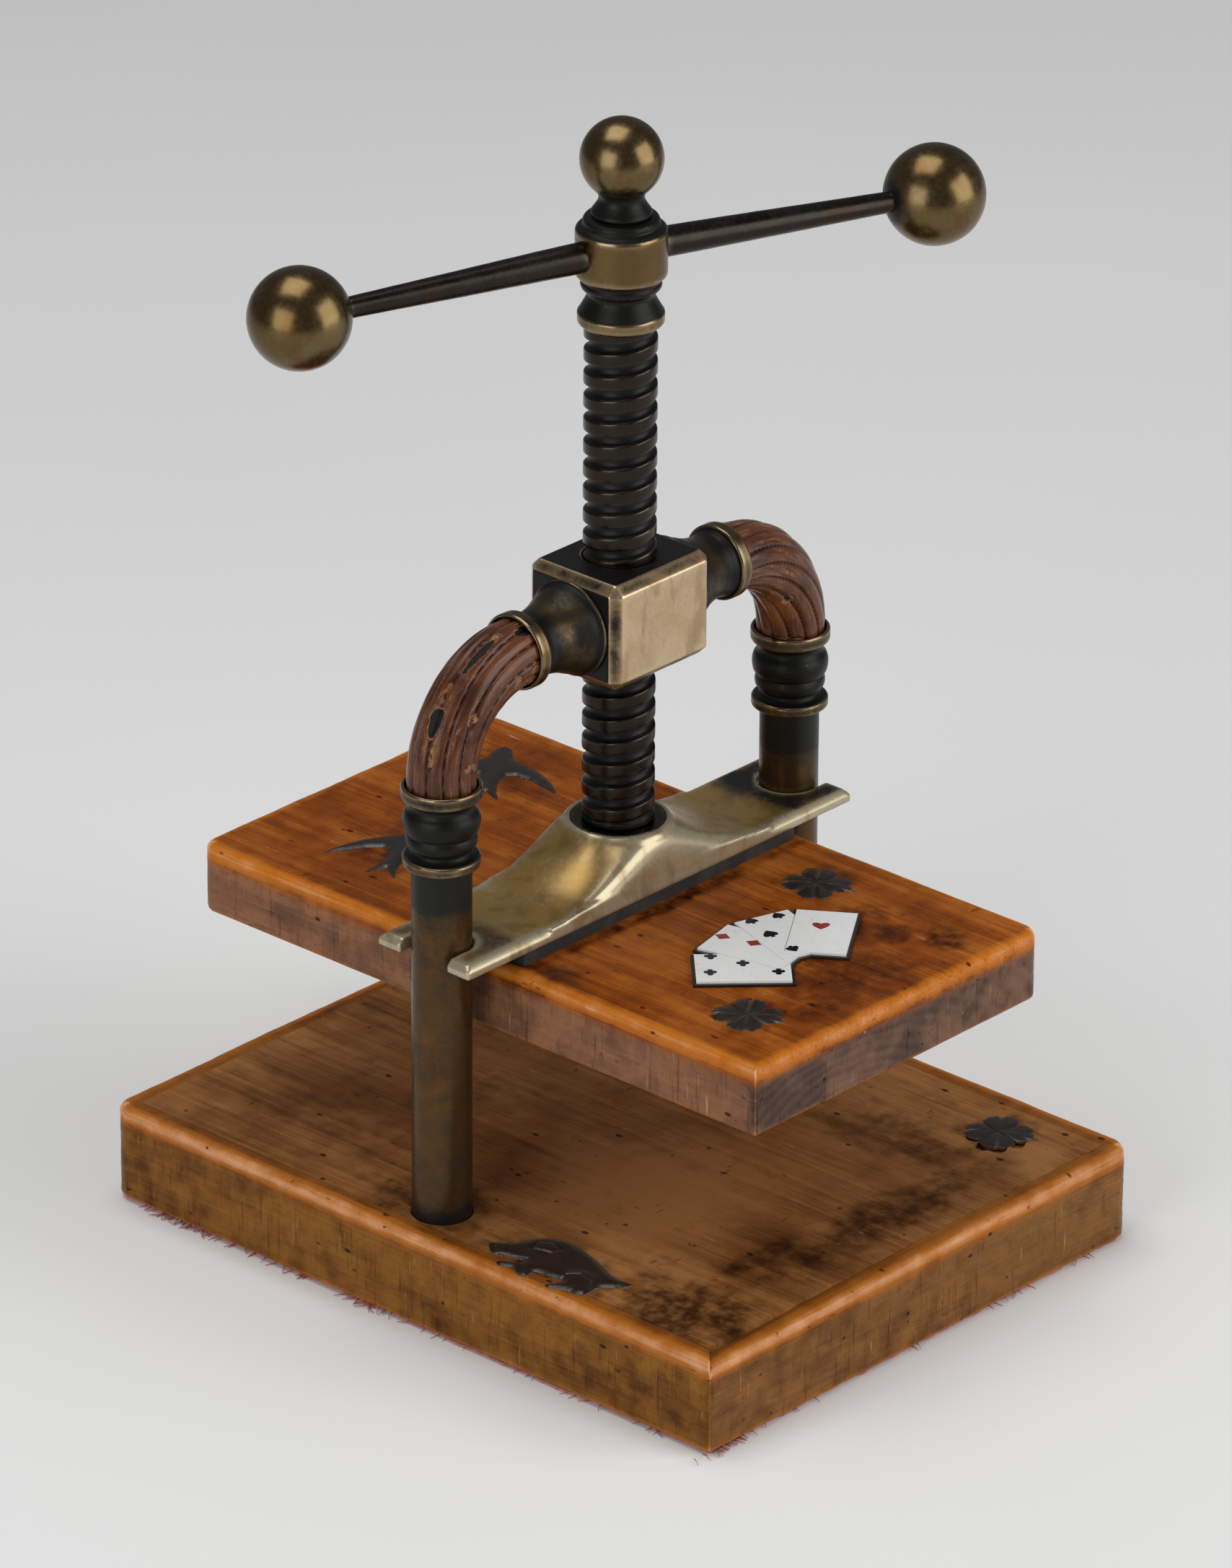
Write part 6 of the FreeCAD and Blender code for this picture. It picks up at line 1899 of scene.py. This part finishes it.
@dataclass
class Studio:
    """Floor, lamps and camera."""

    azimuth: float = -47.73
    elevation: float = 25.17
    roll: float = 0.33
    focal_px: float = 15275.0
    distance: float = 2905.8
    aside: float = -0.59
    target_z: float = 128.52
    frame_px: float = 2173.0

    def camera(self) -> None:
        """Camera at the photograph's angle and distance."""
        azimuth, elevation = math.radians(self.azimuth), math.radians(self.elevation)
        back = Vector((math.sin(azimuth) * math.cos(elevation),
                       -math.cos(azimuth) * math.cos(elevation), math.sin(elevation)))
        right = Vector((math.cos(azimuth), math.sin(azimuth), 0))
        up = back.cross(right)
        roll = math.radians(self.roll)
        across = right * math.cos(roll) + up * math.sin(roll)
        rise = up * math.cos(roll) - right * math.sin(roll)
        spot = Vector((0, 0, self.target_z)) + right * self.aside + back * self.distance
        data = bpy.data.cameras.new("camera")
        data.sensor_width = SENSOR_MM
        data.lens = self.focal_px / self.frame_px * SENSOR_MM
        data.clip_start = 0.1
        data.clip_end = 20.0
        camera = in_scene("camera", data)
        turn = Matrix((across, rise, back)).transposed().to_4x4()
        camera.matrix_world = Matrix.Translation(spot * MM) @ turn
        bpy.context.scene.camera = camera

    def lamp(self, name: str, spot: Sequence[float], aim: Sequence[float], size: float,
             power: float) -> None:
        """Square area lamp that faces a point, in metres and watts."""
        data = bpy.data.lights.new(name, "AREA")
        data.shape = "SQUARE"
        data.size = size
        data.energy = power
        lamp = in_scene(name, data)
        way = Vector(aim) - Vector(spot)
        lamp.rotation_euler = way.to_track_quat("-Z", "Y").to_euler()
        lamp.location = spot

    def floor(self) -> None:
        """Plain pale floor."""
        mix = Recipe("studio_floor")
        cloud = mix.noise(0.004, 2.0)
        colour = mix.blend(cloud, (0.84, 0.84, 0.83), (0.88, 0.88, 0.87))
        material = mix.finish(colour=colour, rough=0.9)
        mesh = bpy.data.meshes.new("floor")
        side = FLOOR_HALF
        mesh.from_pydata([(-side, -side, 0), (side, -side, 0), (side, side, 0),
                          (-side, side, 0)], [], [(0, 1, 2, 3)])
        mesh.materials.append(material)
        floor = in_scene("floor", mesh)

    def build(self) -> None:
        """Set up floor, lamps, world and camera."""
        self.camera()
        self.floor()
        self.lamp("top", (-0.1, 0.35, 1.95), (0, 0, 0.1), 1.3, 17.0)
        self.lamp("key", (0.75, -1.6, 0.80), (0, 0, 0.10), 1.5, 22.0)
        self.lamp("fill", (-1.5, -0.1, 0.62), (0, 0, 0.08), 1.1, 10.0)
        world = bpy.data.worlds.new("studio")
        world.use_nodes = True
        world.node_tree.nodes["Background"].inputs[0].default_value = (0.9, 0.92, 0.95, 1)
        world.node_tree.nodes["Background"].inputs[1].default_value = 0.17
        bpy.context.scene.world = world
        bpy.context.scene.view_settings.view_transform = "Standard"


def main() -> None:
    """Build the press piece by piece, then the studio."""
    logging.basicConfig(level=logging.INFO, format="%(name)s %(message)s")
    shop = Workshop(Finishes())
    Base().build(shop)
    Yoke().build(shop)
    Spindle().build(shop)
    Platen().build(shop)
    Studio().build()


if __name__ == "__main__":
    main()
